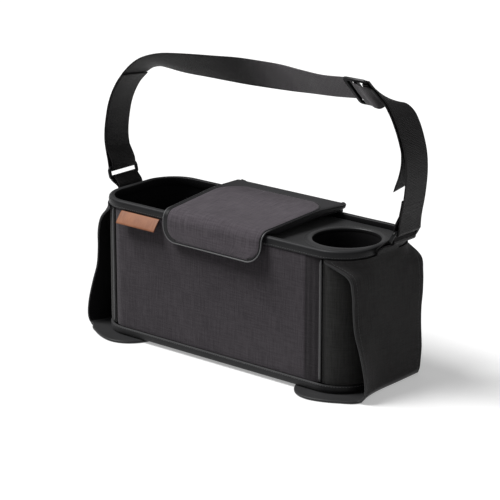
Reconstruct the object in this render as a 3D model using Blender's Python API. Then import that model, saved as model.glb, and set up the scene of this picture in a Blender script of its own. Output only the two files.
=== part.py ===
"""Stroller organizer: a soft tub with a hinged lid, a cup deck, two end wings and a webbing strap.

Lengths are millimetres and angles degrees. X runs along the bag, -Y is its front and +Z is up.
Meshes are written in metres, with the footprint's centre at the origin and the floor at z = 0.
"""

import math

import bmesh
import bpy
from mathutils import Vector

MM = 0.001

# Body, measured over the outer fabric
RIM_Z = 162.0
X_LEFT = -176.0
X_RIGHT = 187.0
HALF_DEPTH = 63.5
CORNER_R = 40.0
CORNER_STEPS = 8
SKIN = 1.5
BOARD = 2.6
FLOOR = 3.0
GAP = 0.3
INSERT_PLAY = 0.6
BASE_BOARD = 2.2
DIVIDER = 4.0
DIVIDER_LEFT_X = -74.0
DIVIDER_RIGHT_X = 80.0

# Bindings round the mouth and the base, and the piped seams between front and ends
RIM_BAND = 9.7
RIM_PROUD = 0.8
RIM_ROUND = 2.4
RIM_LEG = 1.6
BASE_BAND = 8.9
BASE_PROUD = 0.8
BASE_LIP = 5.2
SEAM_X = 151.0
SEAM_W = 3.4
SEAM_PROUD = 1.3
SEAM_INSET = 5.0

# Wings: fabric sheets that hang from the rim and fold under the base as feet
WING = 1.8
FOOT = 3.2
WING_TOP_X = 157.0
WING_HALF = 57.0
FOOT_HALF = 82.0
FOOT_REACH = 83.0
WING_ACROSS = 18

# Lid: heights are measured from the rim's top
LID_X = 5.0
LID_HALF = 78.5
LID_TAB_HALF = 70.7
LID_CORE = 2.2
LID_SKIN = 1.5
LID_BORDER = 4.0
LID_BACK_BORDER = 26.0
LID_BACK_CORNER = 34.0
LID_BORDER_PROUD = 0.3
LID_RISE = 10.9
LID_BACK_RISE = 9.1
LID_FRONT_RISE = 4.1
LID_FOLD = 12.0
LID_STAND = 3.0
LID_TAB_DROP = 31.2
LID_CORNER = 18.0
HINGE_BAND = 2.6
HINGE_BAND_DROP = 28.0
HINGE_DROP = 4.0

# Hidden snap magnets of the lid and the front wall
MAGNET_R = 6.0
MAGNET = 1.2
MAGNET_X = 30.0
MAGNET_DROP = 22.0

# Cup deck and its sleeve
HOLE_INSET = 51.5
HOLE_Y = 0.5
HOLE_R = 36.5
COLLAR = 7.5
COLLAR_RISE = 1.2
DECK = 3.0
DECK_DROP = 5.8
DECK_LEFT_X = 62.0
SLEEVE = 2.0
SLEEVE_FLOOR_Z = 30.0

# Leather tag under the rim
TAG_X = -105.0
TAG_W = 57.0
TAG_L = 16.0
TAG_T = 1.3
TAG_TILT = 38.0

# Strap and its metal: 38 mm webbing. Places are out from the body's end and up from the rim
WEB_W = 38.0
WEB = 1.6
TAB_WEB = 1.5
ROD_R = 2.1
RING_W = 43.6
RING_H = 12.6
RING_CORNER = 4.0
RING_LEFT = (-16.0, 12.5, -15.0)
RING_RIGHT = (25.5, 14.5, 28.0)
SLIDER = (-32.0, 157.8, 46.0)
SLIDER_W = 47.0
SLIDER_BAR = 4.5
SLIDER_SLOT = 9.0
SLIDER_T = 3.0

# The strap's route as (x, z, roll). The roll lifts the strap's near edge. The arch's x is from the middle
LEFT_RISE = (
    (-24.8, 38, 0), (-26.6, 50, 0), (-26.2, 63, 0), (-23.8, 78, 0), (-20.4, 92, 1),
    (-14.5, 106, 3), (-6, 119.5, 5), (4.5, 131, 9),
)
ARCH = (
    (-160.5, 139.5, 14), (-147, 145.8, 23), (-132, 148.9, 33), (-117, 150.5, 41), (-100, 151.5, 46),
    (-71, 153.1, 51), (-41, 154.4, 56), (-11, 155.8, 61), (19, 156.7, 61), (50, 157.4, 59),
    (80, 157.4, 52), (110, 157.6, 47),
)
RIGHT_FALL = (
    (-9, 158.2, 37), (0, 156, 25), (11, 152.2, 14), (21, 143.5, 5), (27.8, 132, 1), (33.5, 118, 0),
    (38, 101, 0), (39.3, 83, 0), (38.2, 66, 0), (36, 50, 0), (33.6, 38, 0),
)
TAIL_END = ((32.9, 94, 0), (30.2, 81, 0), (25, 67, 0))
TURN_PLAY = 0.15

# Sizes that follow from the ones above
TUB_OUT = -(SKIN + GAP)
TUB_IN = TUB_OUT - BOARD
FOOT_GAP_Z = FOOT + 0.6
TUB_Z = FOOT_GAP_Z + SKIN + GAP
TUB_TOP = RIM_Z - RIM_ROUND
PANEL_Z0 = FOOT_GAP_Z + BASE_BAND + GAP
PANEL_Z1 = RIM_Z - RIM_BAND - GAP
INSIDE_Z = TUB_Z + FLOOR + GAP
LID_T = LID_CORE + GAP + LID_SKIN
LID_TOP_Z = RIM_Z + LID_RISE
LID_FRONT_Z = RIM_Z + LID_FRONT_RISE
LID_TAB_Z = RIM_Z - LID_TAB_DROP
HINGE_Z = RIM_Z - HINGE_DROP
MAGNET_Z = RIM_Z - MAGNET_DROP
HOLE_X = X_RIGHT - HOLE_INSET
DECK_Z = RIM_Z - DECK_DROP
LID_FRONT_Y = -(HALF_DEPTH + RIM_PROUD + LID_STAND + LID_T)
HINGE_BAND_Y = HALF_DEPTH + RIM_PROUD + GAP
LID_BACK_Y = HINGE_BAND_Y + HINGE_BAND + GAP + LID_T
RIM_IN = TUB_IN - GAP - RIM_LEG

root = None


def clear_scene():
    for obj in list(bpy.data.objects):
        bpy.data.objects.remove(obj)


def material(name, color, roughness, metallic=0.0):
    """A Principled material of one plain colour."""
    made = bpy.data.materials.new(name)
    made.use_nodes = True
    shader = made.node_tree.nodes["Principled BSDF"]
    shader.inputs["Base Color"].default_value = (*color, 1.0)
    shader.inputs["Roughness"].default_value = roughness
    shader.inputs["Metallic"].default_value = metallic
    made.diffuse_color = (*color, 1.0)
    return made


WOVEN = (0.060, 0.051, 0.060)
SMOOTH = (0.075, 0.072, 0.076)
LINING = (0.012, 0.012, 0.013)
WEBBING = (0.018, 0.017, 0.017)
METAL = (0.020, 0.020, 0.022)
LEATHER = (0.48, 0.17, 0.07)
BOARD_GREY = (0.10, 0.10, 0.10)
STEEL = (0.55, 0.55, 0.56)


def solid(name, points, faces, look, rough=0.85, metallic=0.0, hidden=False):
    """One closed mesh from points in millimetres, with its normals facing out."""
    mesh = bpy.data.meshes.new(name)
    mesh.from_pydata([Vector(p) * MM for p in points], [], faces)
    work = bmesh.new()
    work.from_mesh(mesh)
    bmesh.ops.recalc_face_normals(work, faces=work.faces)
    if work.calc_volume(signed=True) < 0:
        bmesh.ops.reverse_faces(work, faces=work.faces)
    work.to_mesh(mesh)
    work.free()
    obj = bpy.data.objects.new(name, mesh)
    bpy.context.scene.collection.objects.link(obj)
    obj.parent = root
    if hidden:
        obj.hide_render = True
        obj.display_type = "WIRE"
    else:
        mesh.materials.append(material(name, look, rough, metallic))
    return obj


def loft(name, rings, look, closed=False, **more):
    """Joins loops of equal length, and caps the two ends unless the loft closes on itself."""
    count = len(rings[0])
    points = [p for ring in rings for p in ring]
    faces = []
    for i in range(len(rings) if closed else len(rings) - 1):
        a = i * count
        b = (i + 1) % len(rings) * count
        for j in range(count):
            k = (j + 1) % count
            faces.append((a + j, a + k, b + k, b + j))
    if not closed:
        faces.append(tuple(range(count)))
        faces.append(tuple(range(len(points) - count, len(points))))
    return solid(name, points, faces, look, **more)


def boolean(obj, tool, operation="DIFFERENCE"):
    modifier = obj.modifiers.new(tool.name, "BOOLEAN")
    modifier.operation = operation
    modifier.object = tool


def corner_centre(side, front):
    """Centre of a plan corner: side is +1 at the right end, front is -1 at the front."""
    end = X_RIGHT if side > 0 else X_LEFT
    return end - side * CORNER_R, front * (HALF_DEPTH - CORNER_R)


def corner_point(side, front, angle, offset):
    """A point on a plan corner, at an angle from the long side towards the end."""
    cx, cy = corner_centre(side, front)
    r = CORNER_R + offset
    turn = math.radians(angle)
    return cx + side * r * math.sin(turn), cy + front * r * math.cos(turn)


def corner_arc(side, front, first, last, offset):
    steps = [first + (last - first) * i / CORNER_STEPS for i in range(CORNER_STEPS + 1)]
    return [corner_point(side, front, angle, offset) for angle in steps]


def outline(offset, z):
    """The body's plan outline, anticlockwise, at one height."""
    path = corner_arc(1, -1, 0, 90, offset) + corner_arc(1, 1, 90, 0, offset)
    path += corner_arc(-1, 1, 0, 90, offset) + corner_arc(-1, -1, 90, 0, offset)
    return [(x, y, z) for x, y in path]


def swept_ring(name, profile, look, **more):
    """A ring round the body whose section is a list of (offset, z)."""
    return loft(name, [outline(offset, z) for offset, z in profile], look, closed=True, **more)


def seam_angle(side):
    """Where a seam lies on its plan corner."""
    cx, _ = corner_centre(side, 1)
    return math.degrees(math.asin((SEAM_X - abs(cx)) / CORNER_R))


def seam_margin():
    return math.degrees((SEAM_W / 2 + GAP) / CORNER_R)


def skin_panel(name, path_of, look):
    """A fabric panel of the wall: path_of(offset) gives its plan path."""
    outer = path_of(0.0)
    inner = path_of(-SKIN)[::-1]
    levels = (PANEL_Z0, PANEL_Z1)
    loft(name, [[(x, y, z) for x, y in outer + inner] for z in levels], look)


def long_panel(name, front):
    def path(offset):
        left = corner_arc(-1, front, seam_angle(-1) - seam_margin(), 0, offset)
        return left + corner_arc(1, front, 0, seam_angle(1) - seam_margin(), offset)

    skin_panel(name, path, WOVEN)


def end_panel(name, side):
    def path(offset):
        first = seam_angle(side) + seam_margin()
        return corner_arc(side, -1, first, 90, offset) + corner_arc(side, 1, 90, first, offset)

    skin_panel(name, path, WOVEN)


def seam_piping(name, side, front):
    """A vertical piped seam with rounded ends, between a long panel and an end panel."""
    angle = seam_angle(side)
    half = SEAM_W / 2
    section = ((-half, -SKIN), (half, -SKIN), (half, 0.0), (half * 0.6, 0.75), (0, 1.0))
    section += ((-half * 0.6, 0.75), (-half, 0.0))
    cx, cy = corner_centre(side, front)
    turn = math.radians(angle)
    out = Vector((side * math.sin(turn), front * math.cos(turn), 0))
    along = Vector((-out.y, out.x, 0))
    rings = []
    inset = SEAM_INSET
    levels = ((PANEL_Z0, 0.05), (PANEL_Z0 + inset * 0.6, 0.6), (PANEL_Z0 + inset, 1.0))
    levels += ((PANEL_Z1 - inset * 0.6, 1.0), (PANEL_Z1 - inset * 0.2, 0.6), (PANEL_Z1, 0.05))
    for z, rise in levels:
        base = Vector((cx, cy, z)) + out * CORNER_R
        ring = [base + along * s + out * (d * SEAM_PROUD * rise if d > 0 else d) for s, d in section]
        rings.append(ring)
    loft(name, rings, SMOOTH, rough=0.6)


def tub():
    """The stiffened inner tub with its lining, open at the top."""
    rings = [outline(TUB_OUT - 2.0, TUB_Z), outline(TUB_OUT, TUB_Z + 2.0), outline(TUB_OUT, TUB_TOP - GAP)]
    rings += [outline(TUB_IN, TUB_TOP - GAP), outline(TUB_IN, TUB_Z + FLOOR)]
    made = loft("tub", rings, LINING, rough=0.9)
    for x in (-MAGNET_X, MAGNET_X):
        wall = -(HALF_DEPTH + TUB_OUT)
        boolean(made, disc(f"front_pocket_{x:.0f}", x + LID_X, wall - 1.0, wall + MAGNET + GAP,
                           MAGNET_R + GAP, hidden=True))


def disc(name, x, y0, y1, radius, look=STEEL, **more):
    """A round disc whose axis runs along Y."""
    turns = [2 * math.pi * i / 24 for i in range(24)]
    rings = [[(x + radius * math.cos(t), y, MAGNET_Z + radius * math.sin(t)) for t in turns] for y in (y0, y1)]
    return loft(name, rings, look, **more)


def rim_binding():
    """U-shaped neoprene binding that straddles the tub's wall."""
    low = RIM_Z - RIM_BAND
    out = RIM_PROUD
    outer = ((out, low), (out, RIM_Z - 2.2), (out - 0.7, RIM_Z - 0.7), (out - 2.2, RIM_Z))
    inner = ((RIM_IN + 2.2, RIM_Z), (RIM_IN + 0.6, RIM_Z - 0.8), (RIM_IN, RIM_Z - 2.4), (RIM_IN, low))
    groove = ((TUB_IN - GAP, low), (TUB_IN - GAP, TUB_TOP), (TUB_OUT + GAP, TUB_TOP), (TUB_OUT + GAP, low))
    swept_ring("rim_binding", outer + inner + groove, SMOOTH, rough=0.6)


def base_binding():
    """L-shaped binding round the foot of the walls."""
    low = FOOT_GAP_Z
    top = low + BASE_BAND
    out = BASE_PROUD
    outer = ((out - 0.8, low), (out, low + 0.8), (out, top - 0.8), (out - 0.6, top))
    inner = ((TUB_OUT + GAP, top), (TUB_OUT + GAP, low + SKIN), (-BASE_LIP - SKIN, low + SKIN), (-BASE_LIP - SKIN, low))
    swept_ring("base_binding", outer + inner, SMOOTH, rough=0.6)


def plate(name, offset, z0, z1, look):
    loft(name, [outline(offset, z0), outline(offset, z1)], look)


def divider(name, x, top):
    """A padded wall across the tub, rounded at its upper corners."""
    half = HALF_DEPTH + TUB_IN - INSERT_PLAY
    r = 8.0
    section = [(-half, INSIDE_Z + BASE_BOARD + GAP), (half, INSIDE_Z + BASE_BOARD + GAP)]
    for cy, start in ((half - r, 0), (-(half - r), 90)):
        turns = [math.radians(start + 15 * i) for i in range(7)]
        section += [(cy + r * math.cos(t), top - r + r * math.sin(t)) for t in turns]
    sides = (x - DIVIDER / 2, x + DIVIDER / 2)
    loft(name, [[(sx, y, z) for y, z in section] for sx in sides], LINING)


def turned(name, profile, look, closed=False, steps=40, hidden=False, **more):
    """A body of revolution about the cup hole's axis, from a list of (radius, z)."""
    turns = [2 * math.pi * i / steps for i in range(steps)]
    rings = [[(HOLE_X + r * math.cos(t), HOLE_Y + r * math.sin(t), z) for t in turns] for r, z in profile]
    return loft(name, rings, look, closed=closed, hidden=hidden, **more)


def cup_deck():
    """Flat deck inside the rim, with a raised collar round the cup hole."""
    edge = RIM_IN - GAP
    path = [(DECK_LEFT_X, -(HALF_DEPTH + edge))]
    path += corner_arc(1, -1, 0, 90, edge) + corner_arc(1, 1, 90, 0, edge)
    path += [(DECK_LEFT_X, HALF_DEPTH + edge)]
    made = loft("cup_deck", [[(x, y, z) for x, y in path] for z in (DECK_Z - DECK, DECK_Z)], SMOOTH, rough=0.6)
    r = HOLE_R + COLLAR
    top = DECK_Z + COLLAR_RISE
    collar = ((r, DECK_Z - DECK / 2), (r, top - 2.0), (r - 0.8, top - 0.6), (r - 2.2, top))
    boolean(made, turned("collar_add", collar, SMOOTH, hidden=True), "UNION")
    hole = ((HOLE_R, DECK_Z - DECK - 5), (HOLE_R, top - 1.6), (HOLE_R + 1.8, top + 2))
    boolean(made, turned("collar_cut", hole, SMOOTH, hidden=True))


def cup_sleeve():
    """Lined cup that hangs from a flange under the deck."""
    top = DECK_Z - DECK - GAP
    out = HOLE_R + SLEEVE
    flange = HOLE_R + COLLAR - 0.5
    low = SLEEVE_FLOOR_Z
    profile = ((out - 2, low), (out, low + 2), (out, top - SKIN), (flange, top - SKIN), (flange, top))
    profile += ((HOLE_R, top), (HOLE_R, low + SLEEVE))
    turned("cup_sleeve", profile, LINING, rough=0.9)


def rounded(corners, steps=6):
    """A polyline whose inner corners, given as (y, z, radius), are turned into arcs."""
    path = [Vector(corners[0][:2])]
    for before, here, after in zip(corners, corners[1:], corners[2:]):
        p = Vector(here[:2])
        a = (Vector(before[:2]) - p).normalized()
        b = (Vector(after[:2]) - p).normalized()
        half = a.angle(b) / 2
        reach = here[2] / math.tan(half)
        centre = p + (a + b).normalized() * (here[2] / math.sin(half))
        first = p + a * reach - centre
        last = p + b * reach - centre
        for i in range(steps + 1):
            path.append(centre + first.slerp(last, i / steps).normalized() * here[2])
    path.append(Vector(corners[-1][:2]))
    return path


def lid_profile():
    """The lid's top line from the back hinge over the dome to the front tab, as (y, z)."""
    corners = (
        (LID_BACK_Y, HINGE_Z + 0.6, 0),
        (LID_BACK_Y, RIM_Z + LID_BACK_RISE, 8.0),
        (18.0, LID_TOP_Z, 150.0),
        (LID_FRONT_Y, LID_FRONT_Z, LID_FOLD),
        (LID_FRONT_Y, LID_TAB_Z, 0),
    )
    return rounded(corners)


def densified(path, longest):
    """The same polyline with its long runs divided."""
    made = [path[0]]
    for a, b in zip(path, path[1:]):
        parts = max(1, math.ceil((b - a).length / longest))
        made += [a.lerp(b, i / parts) for i in range(1, parts + 1)]
    return made


def lid_sheet(name, low, high, inset, look, hidden=False, back=None, **more):
    """A sheet that follows the lid, between two depths below its top line.

    back moves the sheet's rear edge that far in from the lid's back and rounds its corners.
    """
    path = lid_profile()
    lengths = [0.0]
    for a, b in zip(path, path[1:]):
        lengths.append(lengths[-1] + (b - a).length)
    start = inset
    if back:
        i = max(k for k in range(len(path) - 1) if path[k].x >= LID_BACK_Y - back)
        share = (path[i].x - (LID_BACK_Y - back)) / (path[i].x - path[i + 1].x)
        start = lengths[i] + (lengths[i + 1] - lengths[i]) * share
    end = lengths[-1] - inset
    radius = LID_CORNER - inset
    rear = LID_BACK_CORNER if back else 0.0
    bends = [1 - math.sin(math.radians(a)) for a in (0, 20, 40, 55, 70, 80, 90)]
    corner_stops = [end - radius * b for b in bends] + [start + rear * b for b in bends]
    stops = sorted({round(s, 4) for s in lengths + corner_stops if start + 0.01 < s < end - 0.01} | {start, end})
    rings = []
    for stop in stops:
        i = max(k for k in range(len(path) - 1) if k == 0 or lengths[k] <= stop)
        run = (path[i + 1] - path[i]).normalized()
        point = path[i] + run * (stop - lengths[i])
        before = path[i] - path[i - 1] if i and stop - lengths[i] < 0.001 else run
        run = (run + before.normalized()).normalized()
        normal = Vector((run.y, -run.x))
        taper = (LID_BACK_Y - point.x) / (LID_BACK_Y - LID_FRONT_Y)
        half = LID_HALF + (LID_TAB_HALF - LID_HALF) * taper - inset
        past = max(0.0, stop - (end - radius))
        early = max(0.0, start + rear - stop)
        width = half - radius + math.sqrt(max(radius**2 - past**2, 0.0))
        width += math.sqrt(max(rear**2 - early**2, 0.0)) - rear
        a = point - normal * low
        b = point - normal * high
        rings.append([(LID_X - width, a.x, a.y), (LID_X + width, a.x, a.y), (LID_X + width, b.x, b.y), (LID_X - width, b.x, b.y)])
    return loft(name, rings, look, hidden=hidden, **more)


def lid():
    """Stiffened lid core, its woven inset, its border and the hinge band on the back wall."""
    core = lid_sheet("lid_core", LID_T, LID_T - LID_CORE, 0.0, LINING)
    face = LID_FRONT_Y + LID_SKIN + GAP
    for x in (-MAGNET_X, MAGNET_X):
        boolean(core, disc(f"lid_pocket_{x:.0f}", x + LID_X, face - 1.0, face + MAGNET + 2 * GAP,
                           MAGNET_R + GAP, hidden=True))
    lid_sheet("lid_inset", LID_SKIN, 0.0, LID_BORDER + GAP, WOVEN, back=LID_BACK_BORDER + GAP)
    border = lid_sheet("lid_border", LID_SKIN, -LID_BORDER_PROUD, 0.0, SMOOTH, rough=0.6)
    boolean(border, lid_sheet("lid_window", LID_SKIN + 1, -2.0, LID_BORDER, SMOOTH, hidden=True, back=LID_BACK_BORDER))
    y0 = HINGE_BAND_Y
    rings = []
    for z in (HINGE_Z - HINGE_BAND_DROP, HINGE_Z - 0.5):
        rings.append([(LID_X - LID_HALF, y0, z), (LID_X + LID_HALF, y0, z),
                      (LID_X + LID_HALF, y0 + HINGE_BAND, z), (LID_X - LID_HALF, y0 + HINGE_BAND, z)])
    loft("lid_hinge_band", rings, SMOOTH, rough=0.6)


def magnets():
    """Two pairs of discs that hold the lid's tab shut."""
    lid_face = LID_FRONT_Y + LID_SKIN + GAP
    wall_face = -(HALF_DEPTH + TUB_OUT)
    for word, x in (("left", -MAGNET_X), ("right", MAGNET_X)):
        disc(f"lid_magnet_{word}", x + LID_X, lid_face, lid_face + MAGNET, MAGNET_R, rough=0.3, metallic=1.0)
        disc(f"front_magnet_{word}", x + LID_X, wall_face, wall_face + MAGNET, MAGNET_R, rough=0.3, metallic=1.0)


def leather_tag():
    """Bare leather label, sewn under the rim and standing out at its lower edge."""
    tilt = math.radians(TAG_TILT)
    down = Vector((0, -math.sin(tilt), -math.cos(tilt)))
    back = Vector((0, math.cos(tilt), -math.sin(tilt)))
    top = Vector((TAG_X, -(HALF_DEPTH + GAP + TAG_T / 2), PANEL_Z1 - TAG_T / 2))
    rings = []
    for s in (0.0, TAG_L):
        ring = []
        for x, d in ((-1, -1), (1, -1), (1, 1), (-1, 1)):
            ring.append(top + down * s + back * (d * TAG_T / 2) + Vector((x * TAG_W / 2, 0, 0)))
        rings.append(ring)
    loft("leather_tag", rings, LEATHER, rough=0.6)


def wing_stations(side):
    """Rows of the wing's middle surface as (front x, middle x, back x, half width, z), from rim to foot."""
    end = abs(X_RIGHT if side > 0 else X_LEFT)
    top = PANEL_Z1 - 0.1
    drop = ((134, -3, 3.5, 4), (119, 1.6, 5, 6.8), (97, 2.8, 6, 7.2), (77, 5.3, 6.5, 5.6), (57, 12, 7.2, 5.8))
    drop += ((32, 18.5, 8.2, 7.4), (14, 20.4, 8, 6.8), (8, 19, 7.4, 6.2), (4.6, 16.5, 6.2, 5), (2.2, 12.5, 4, 3))
    rows = [(end + f, end + m, end + b, WING_HALF, z) for z, f, m, b in drop]
    flat = FOOT / 2
    rows.append((end + 6, end - 0.5, end - 1.5, 63.5, flat))
    foot = ((-5, 70), (-14, 75), (-27, 80), (-38, FOOT_HALF), (-50, 80), (-60, 74), (-68, 64), (-74, 50), (-78, 34))
    foot += ((-FOOT_REACH, 18),)
    rows += [(end + x, end + x, end + x, half, flat) for x, half in foot]
    return top, end, rows


def wing_grid(side):
    """Points of the middle surface; the first rows follow the body's own outline."""
    top, end, rows = wing_stations(side)
    lift = 2 * GAP + WING / 2
    grid = []
    for z, blend in ((top, 0.0), (top - 3, 0.0), (top - 10, 0.55)):
        row = []
        for i in range(WING_ACROSS + 1):
            u = 2 * i / WING_ACROSS - 1
            wall = wall_point(side, u, lift)
            free = wing_point(side, rows[0], u)
            row.append(Vector((wall[0] + (free.x - wall[0]) * blend, wall[1] + (free.y - wall[1]) * blend, z)))
        grid.append(row)
    for station in rows:
        grid.append([wing_point(side, station, 2 * i / WING_ACROSS - 1) for i in range(WING_ACROSS + 1)])
    return grid


def wing_point(side, station, u):
    """A point across one row of the wing, u from -1 at its front edge to +1 at its back."""
    front, middle, back, half, z = station
    edge = front if u < 0 else back
    return Vector((side * (middle - (middle - edge) * abs(u) ** 2.2), half * u, z))


def wall_point(side, u, lift):
    """A point on the end wall, u from -1 at the front seam side to +1 at the back."""
    cx, cy = corner_centre(side, 1)
    first = math.degrees(math.asin((WING_TOP_X - abs(cx)) / CORNER_R))
    arc = math.radians(90 - first) * CORNER_R
    straight = 2 * cy
    total = 2 * arc + straight
    s = abs(u) * total / 2
    front = 1 if u > 0 else -1
    if s < straight / 2:
        return side * (abs(cx) + CORNER_R + lift), front * s
    angle = 90 - math.degrees((s - straight / 2) / CORNER_R)
    return corner_point(side, front, angle, lift)


def wing(name, side):
    """One sheet: it hangs from the rim, flares, and folds under the base as a foot."""
    grid = wing_grid(side)
    rows, across = len(grid), len(grid[0])
    outer, inner = [], []
    for i, row in enumerate(grid):
        for j, point in enumerate(row):
            down = grid[min(i + 1, rows - 1)][j] - grid[max(i - 1, 0)][j]
            side_way = row[min(j + 1, across - 1)] - row[max(j - 1, 0)]
            normal = side_way.cross(down).normalized() * -side
            thick = FOOT if point.z < 3 else WING if point.z > 8 else (WING + FOOT) / 2
            out = point + normal * thick / 2
            into = point - normal * thick / 2
            if point.z < 3:
                out.z = max(out.z, 0.0) if point.z > FOOT / 2 + 0.1 else 0.0
                into.z = FOOT if point.z <= FOOT / 2 + 0.1 else into.z
            outer.append(out)
            inner.append(into)
    points = outer + inner
    shift = len(outer)
    faces = []
    for i in range(rows - 1):
        for j in range(across - 1):
            a = i * across + j
            faces.append((a, a + 1, a + across + 1, a + across))
            faces.append((a + shift, a + across + shift, a + across + 1 + shift, a + 1 + shift))
    edge = [j for j in range(across)]
    edge += [i * across + across - 1 for i in range(1, rows)]
    edge += [(rows - 1) * across + j for j in range(across - 2, -1, -1)]
    edge += [i * across for i in range(rows - 2, 0, -1)]
    for a, b in zip(edge, edge[1:] + edge[:1]):
        faces.append((a, a + shift, b + shift, b))
    solid(name, points, faces, WOVEN)


def smooth_route(points):
    """A centripetal Catmull-Rom curve through points of (x, y, z, roll)."""
    route = [Vector(p) for p in points]
    route = [route[0] * 2 - route[1]] + route + [route[-1] * 2 - route[-2]]
    made = []
    for p0, p1, p2, p3 in zip(route, route[1:], route[2:], route[3:]):
        a, b, c = (math.sqrt((q - p).xyz.length) for p, q in ((p0, p1), (p1, p2), (p2, p3)))
        m1 = ((p1 - p0) / a * b + (p2 - p1) / b * a) / (a + b) * b
        m2 = ((p2 - p1) / b * c + (p3 - p2) / c * b) / (b + c) * b
        length = b * b
        steps = 1 if length < 2.2 else 2 if length < 6 else 3
        for i in range(steps):
            t = i / steps
            made.append(p1 * (2 * t**3 - 3 * t**2 + 1) + m1 * (t**3 - 2 * t**2 + t)
                        + p2 * (3 * t**2 - 2 * t**3) + m2 * (t**3 - t**2))
    made.append(route[-2])
    return made


def flat(points, start=0.0):
    """Route points of (x, z, roll) as (x, y, z, roll), x from a start and z from the rim's top."""
    return [(start + x, 0.0, RIM_Z + z, roll) for x, z, roll in points]


def arc(centre, radius, first, last, steps=6):
    """Route points round a bar, with angles from +X towards +Z."""
    made = []
    for i in range(steps + 1):
        turn = math.radians(first + (last - first) * i / steps)
        made.append((centre[0] + radius * math.cos(turn), 0.0, centre[1] + radius * math.sin(turn), 0.0))
    return made


def web_frame(route, i):
    """Normal and width directions of the webbing at one point of its route."""
    before = Vector(route[max(i - 1, 0)][:3])
    after = Vector(route[min(i + 1, len(route) - 1)][:3])
    run = (after - before).normalized()
    roll = math.radians(route[i][3])
    width = Vector((0, math.cos(roll), -math.sin(roll)))
    width = (width - run * width.dot(run)).normalized()
    return run.cross(width), width


def beside(route, distance):
    """The same route moved along the webbing's normal."""
    made = []
    for i, point in enumerate(route):
        normal, _ = web_frame(route, i)
        moved = Vector(point[:3]) + normal * distance
        made.append((*moved, point[3]))
    return made


def webbing(name, route, thickness, slant=0.0):
    """A flat strap of constant width along a route; slant cuts its last end at an angle."""
    rings = []
    for i, point in enumerate(route):
        normal, width = web_frame(route, i)
        ring = []
        for w, n in ((-1, -1), (1, -1), (1, 1), (-1, 1)):
            corner = Vector(point[:3]) + width * (w * WEB_W / 2) + normal * (n * thickness / 2)
            if i == len(route) - 1:
                run = (Vector(route[i][:3]) - Vector(route[i - 1][:3])).normalized()
                corner += run * (-w * slant)
            ring.append(corner)
        rings.append(ring)
    loft(name, rings, WEBBING, rough=0.55)


def placed(metal):
    """The (x, z, turn) of a ring or the slider in the part's frame."""
    x, z, turn = metal
    return x + (X_LEFT if metal is RING_LEFT else X_RIGHT), z + RIM_Z, turn


def ring_bar(ring, end):
    """Centre of a ring's top (+1) or bottom (-1) bar as (x, z)."""
    x, z, lean = placed(ring)
    turn = math.radians(lean)
    return x + end * RING_H / 2 * math.sin(turn), z + end * RING_H / 2 * math.cos(turn)


def metal_ring(name, ring):
    """A rounded rectangle of round rod."""
    x, z, lean = placed(ring)
    turn = math.radians(lean)
    up = Vector((math.sin(turn), 0, math.cos(turn)))
    out = Vector((math.cos(turn), 0, -math.sin(turn)))
    path = []
    for quarter, (sy, sz) in enumerate(((1, 1), (-1, 1), (-1, -1), (1, -1))):
        cy = sy * (RING_W / 2 - RING_CORNER)
        cz = sz * (RING_H / 2 - RING_CORNER)
        for i in range(5):
            t = math.radians(90 * quarter + 22.5 * i)
            path.append((cy + RING_CORNER * math.cos(t), cz + RING_CORNER * math.sin(t)))
    rings = []
    for i, (a, b) in enumerate(path):
        after = path[(i + 1) % len(path)]
        before = path[i - 1]
        run = Vector((after[0] - before[0], after[1] - before[1])).normalized()
        side = Vector((0, run.y, 0)) + up * -run.x
        centre = Vector((x, a, z)) + up * b
        turns = [2 * math.pi * k / 10 for k in range(10)]
        rings.append([centre + (side * math.cos(t) + out * math.sin(t)) * ROD_R for t in turns])
    loft(name, rings, METAL, closed=True, rough=0.35, metallic=0.6)


def on_slider(along, out):
    """A route point at the slider: along the strap and out along its normal."""
    x, z, roll = placed(SLIDER)
    turn = math.radians(roll)
    return (x + along, out * math.sin(turn), z + out * math.cos(turn), roll)


def slider():
    """Three-bar slider: a rounded plate with two slots."""
    x, z, roll = placed(SLIDER)
    turn = math.radians(roll)
    width = Vector((0, math.cos(turn), -math.sin(turn)))
    normal = Vector((0, math.sin(turn), math.cos(turn)))
    pitch = SLIDER_BAR + SLIDER_SLOT
    half = pitch + SLIDER_BAR / 2

    def block(name, a0, a1, w, t, r, **more):
        path = []
        for quarter, (sa, sw) in enumerate(((1, 1), (-1, 1), (-1, -1), (1, -1))):
            for i in range(4):
                turned_by = math.radians(90 * quarter + 30 * i)
                a = (a0 + a1) / 2 + sa * ((a1 - a0) / 2 - r) + r * math.cos(turned_by)
                path.append((a, sw * (w / 2 - r) + r * math.sin(turned_by)))
        rings = []
        for n, trim in ((-t / 2, 0.5), (-t / 2 + 0.6, 0.0), (t / 2 - 0.6, 0.0), (t / 2, 0.5)):
            middle = (a0 + a1) / 2
            ring = []
            for a, b in path:
                a = middle + (a - middle) * (1 - trim / (a1 - a0) * 2) if not more else a
                b = b * (1 - trim / w * 2) if not more else b
                ring.append(Vector((x + a, 0, z)) + width * b + normal * n)
            rings.append(ring)
        return loft(name, rings, METAL, rough=0.4, metallic=0.3, **more)

    made = block("strap_slider", -half, half, SLIDER_W, SLIDER_T, 4.0)
    inner = WEB_W + 2.0
    for word, sign in (("left", -1), ("right", 1)):
        a = sign * pitch / 2
        boolean(made, block(f"slot_{word}", a - SLIDER_SLOT / 2, a + SLIDER_SLOT / 2, inner, SLIDER_T + 3, 1.2, hidden=True))


def slider_pitch():
    return SLIDER_BAR + SLIDER_SLOT


def slider_clear():
    """How far the webbing's middle stands off the slider's middle where it lies on a bar."""
    return SLIDER_T / 2 + GAP + WEB / 2


def ring_wrap(thickness):
    return ROD_R + GAP + TURN_PLAY + thickness / 2


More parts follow.
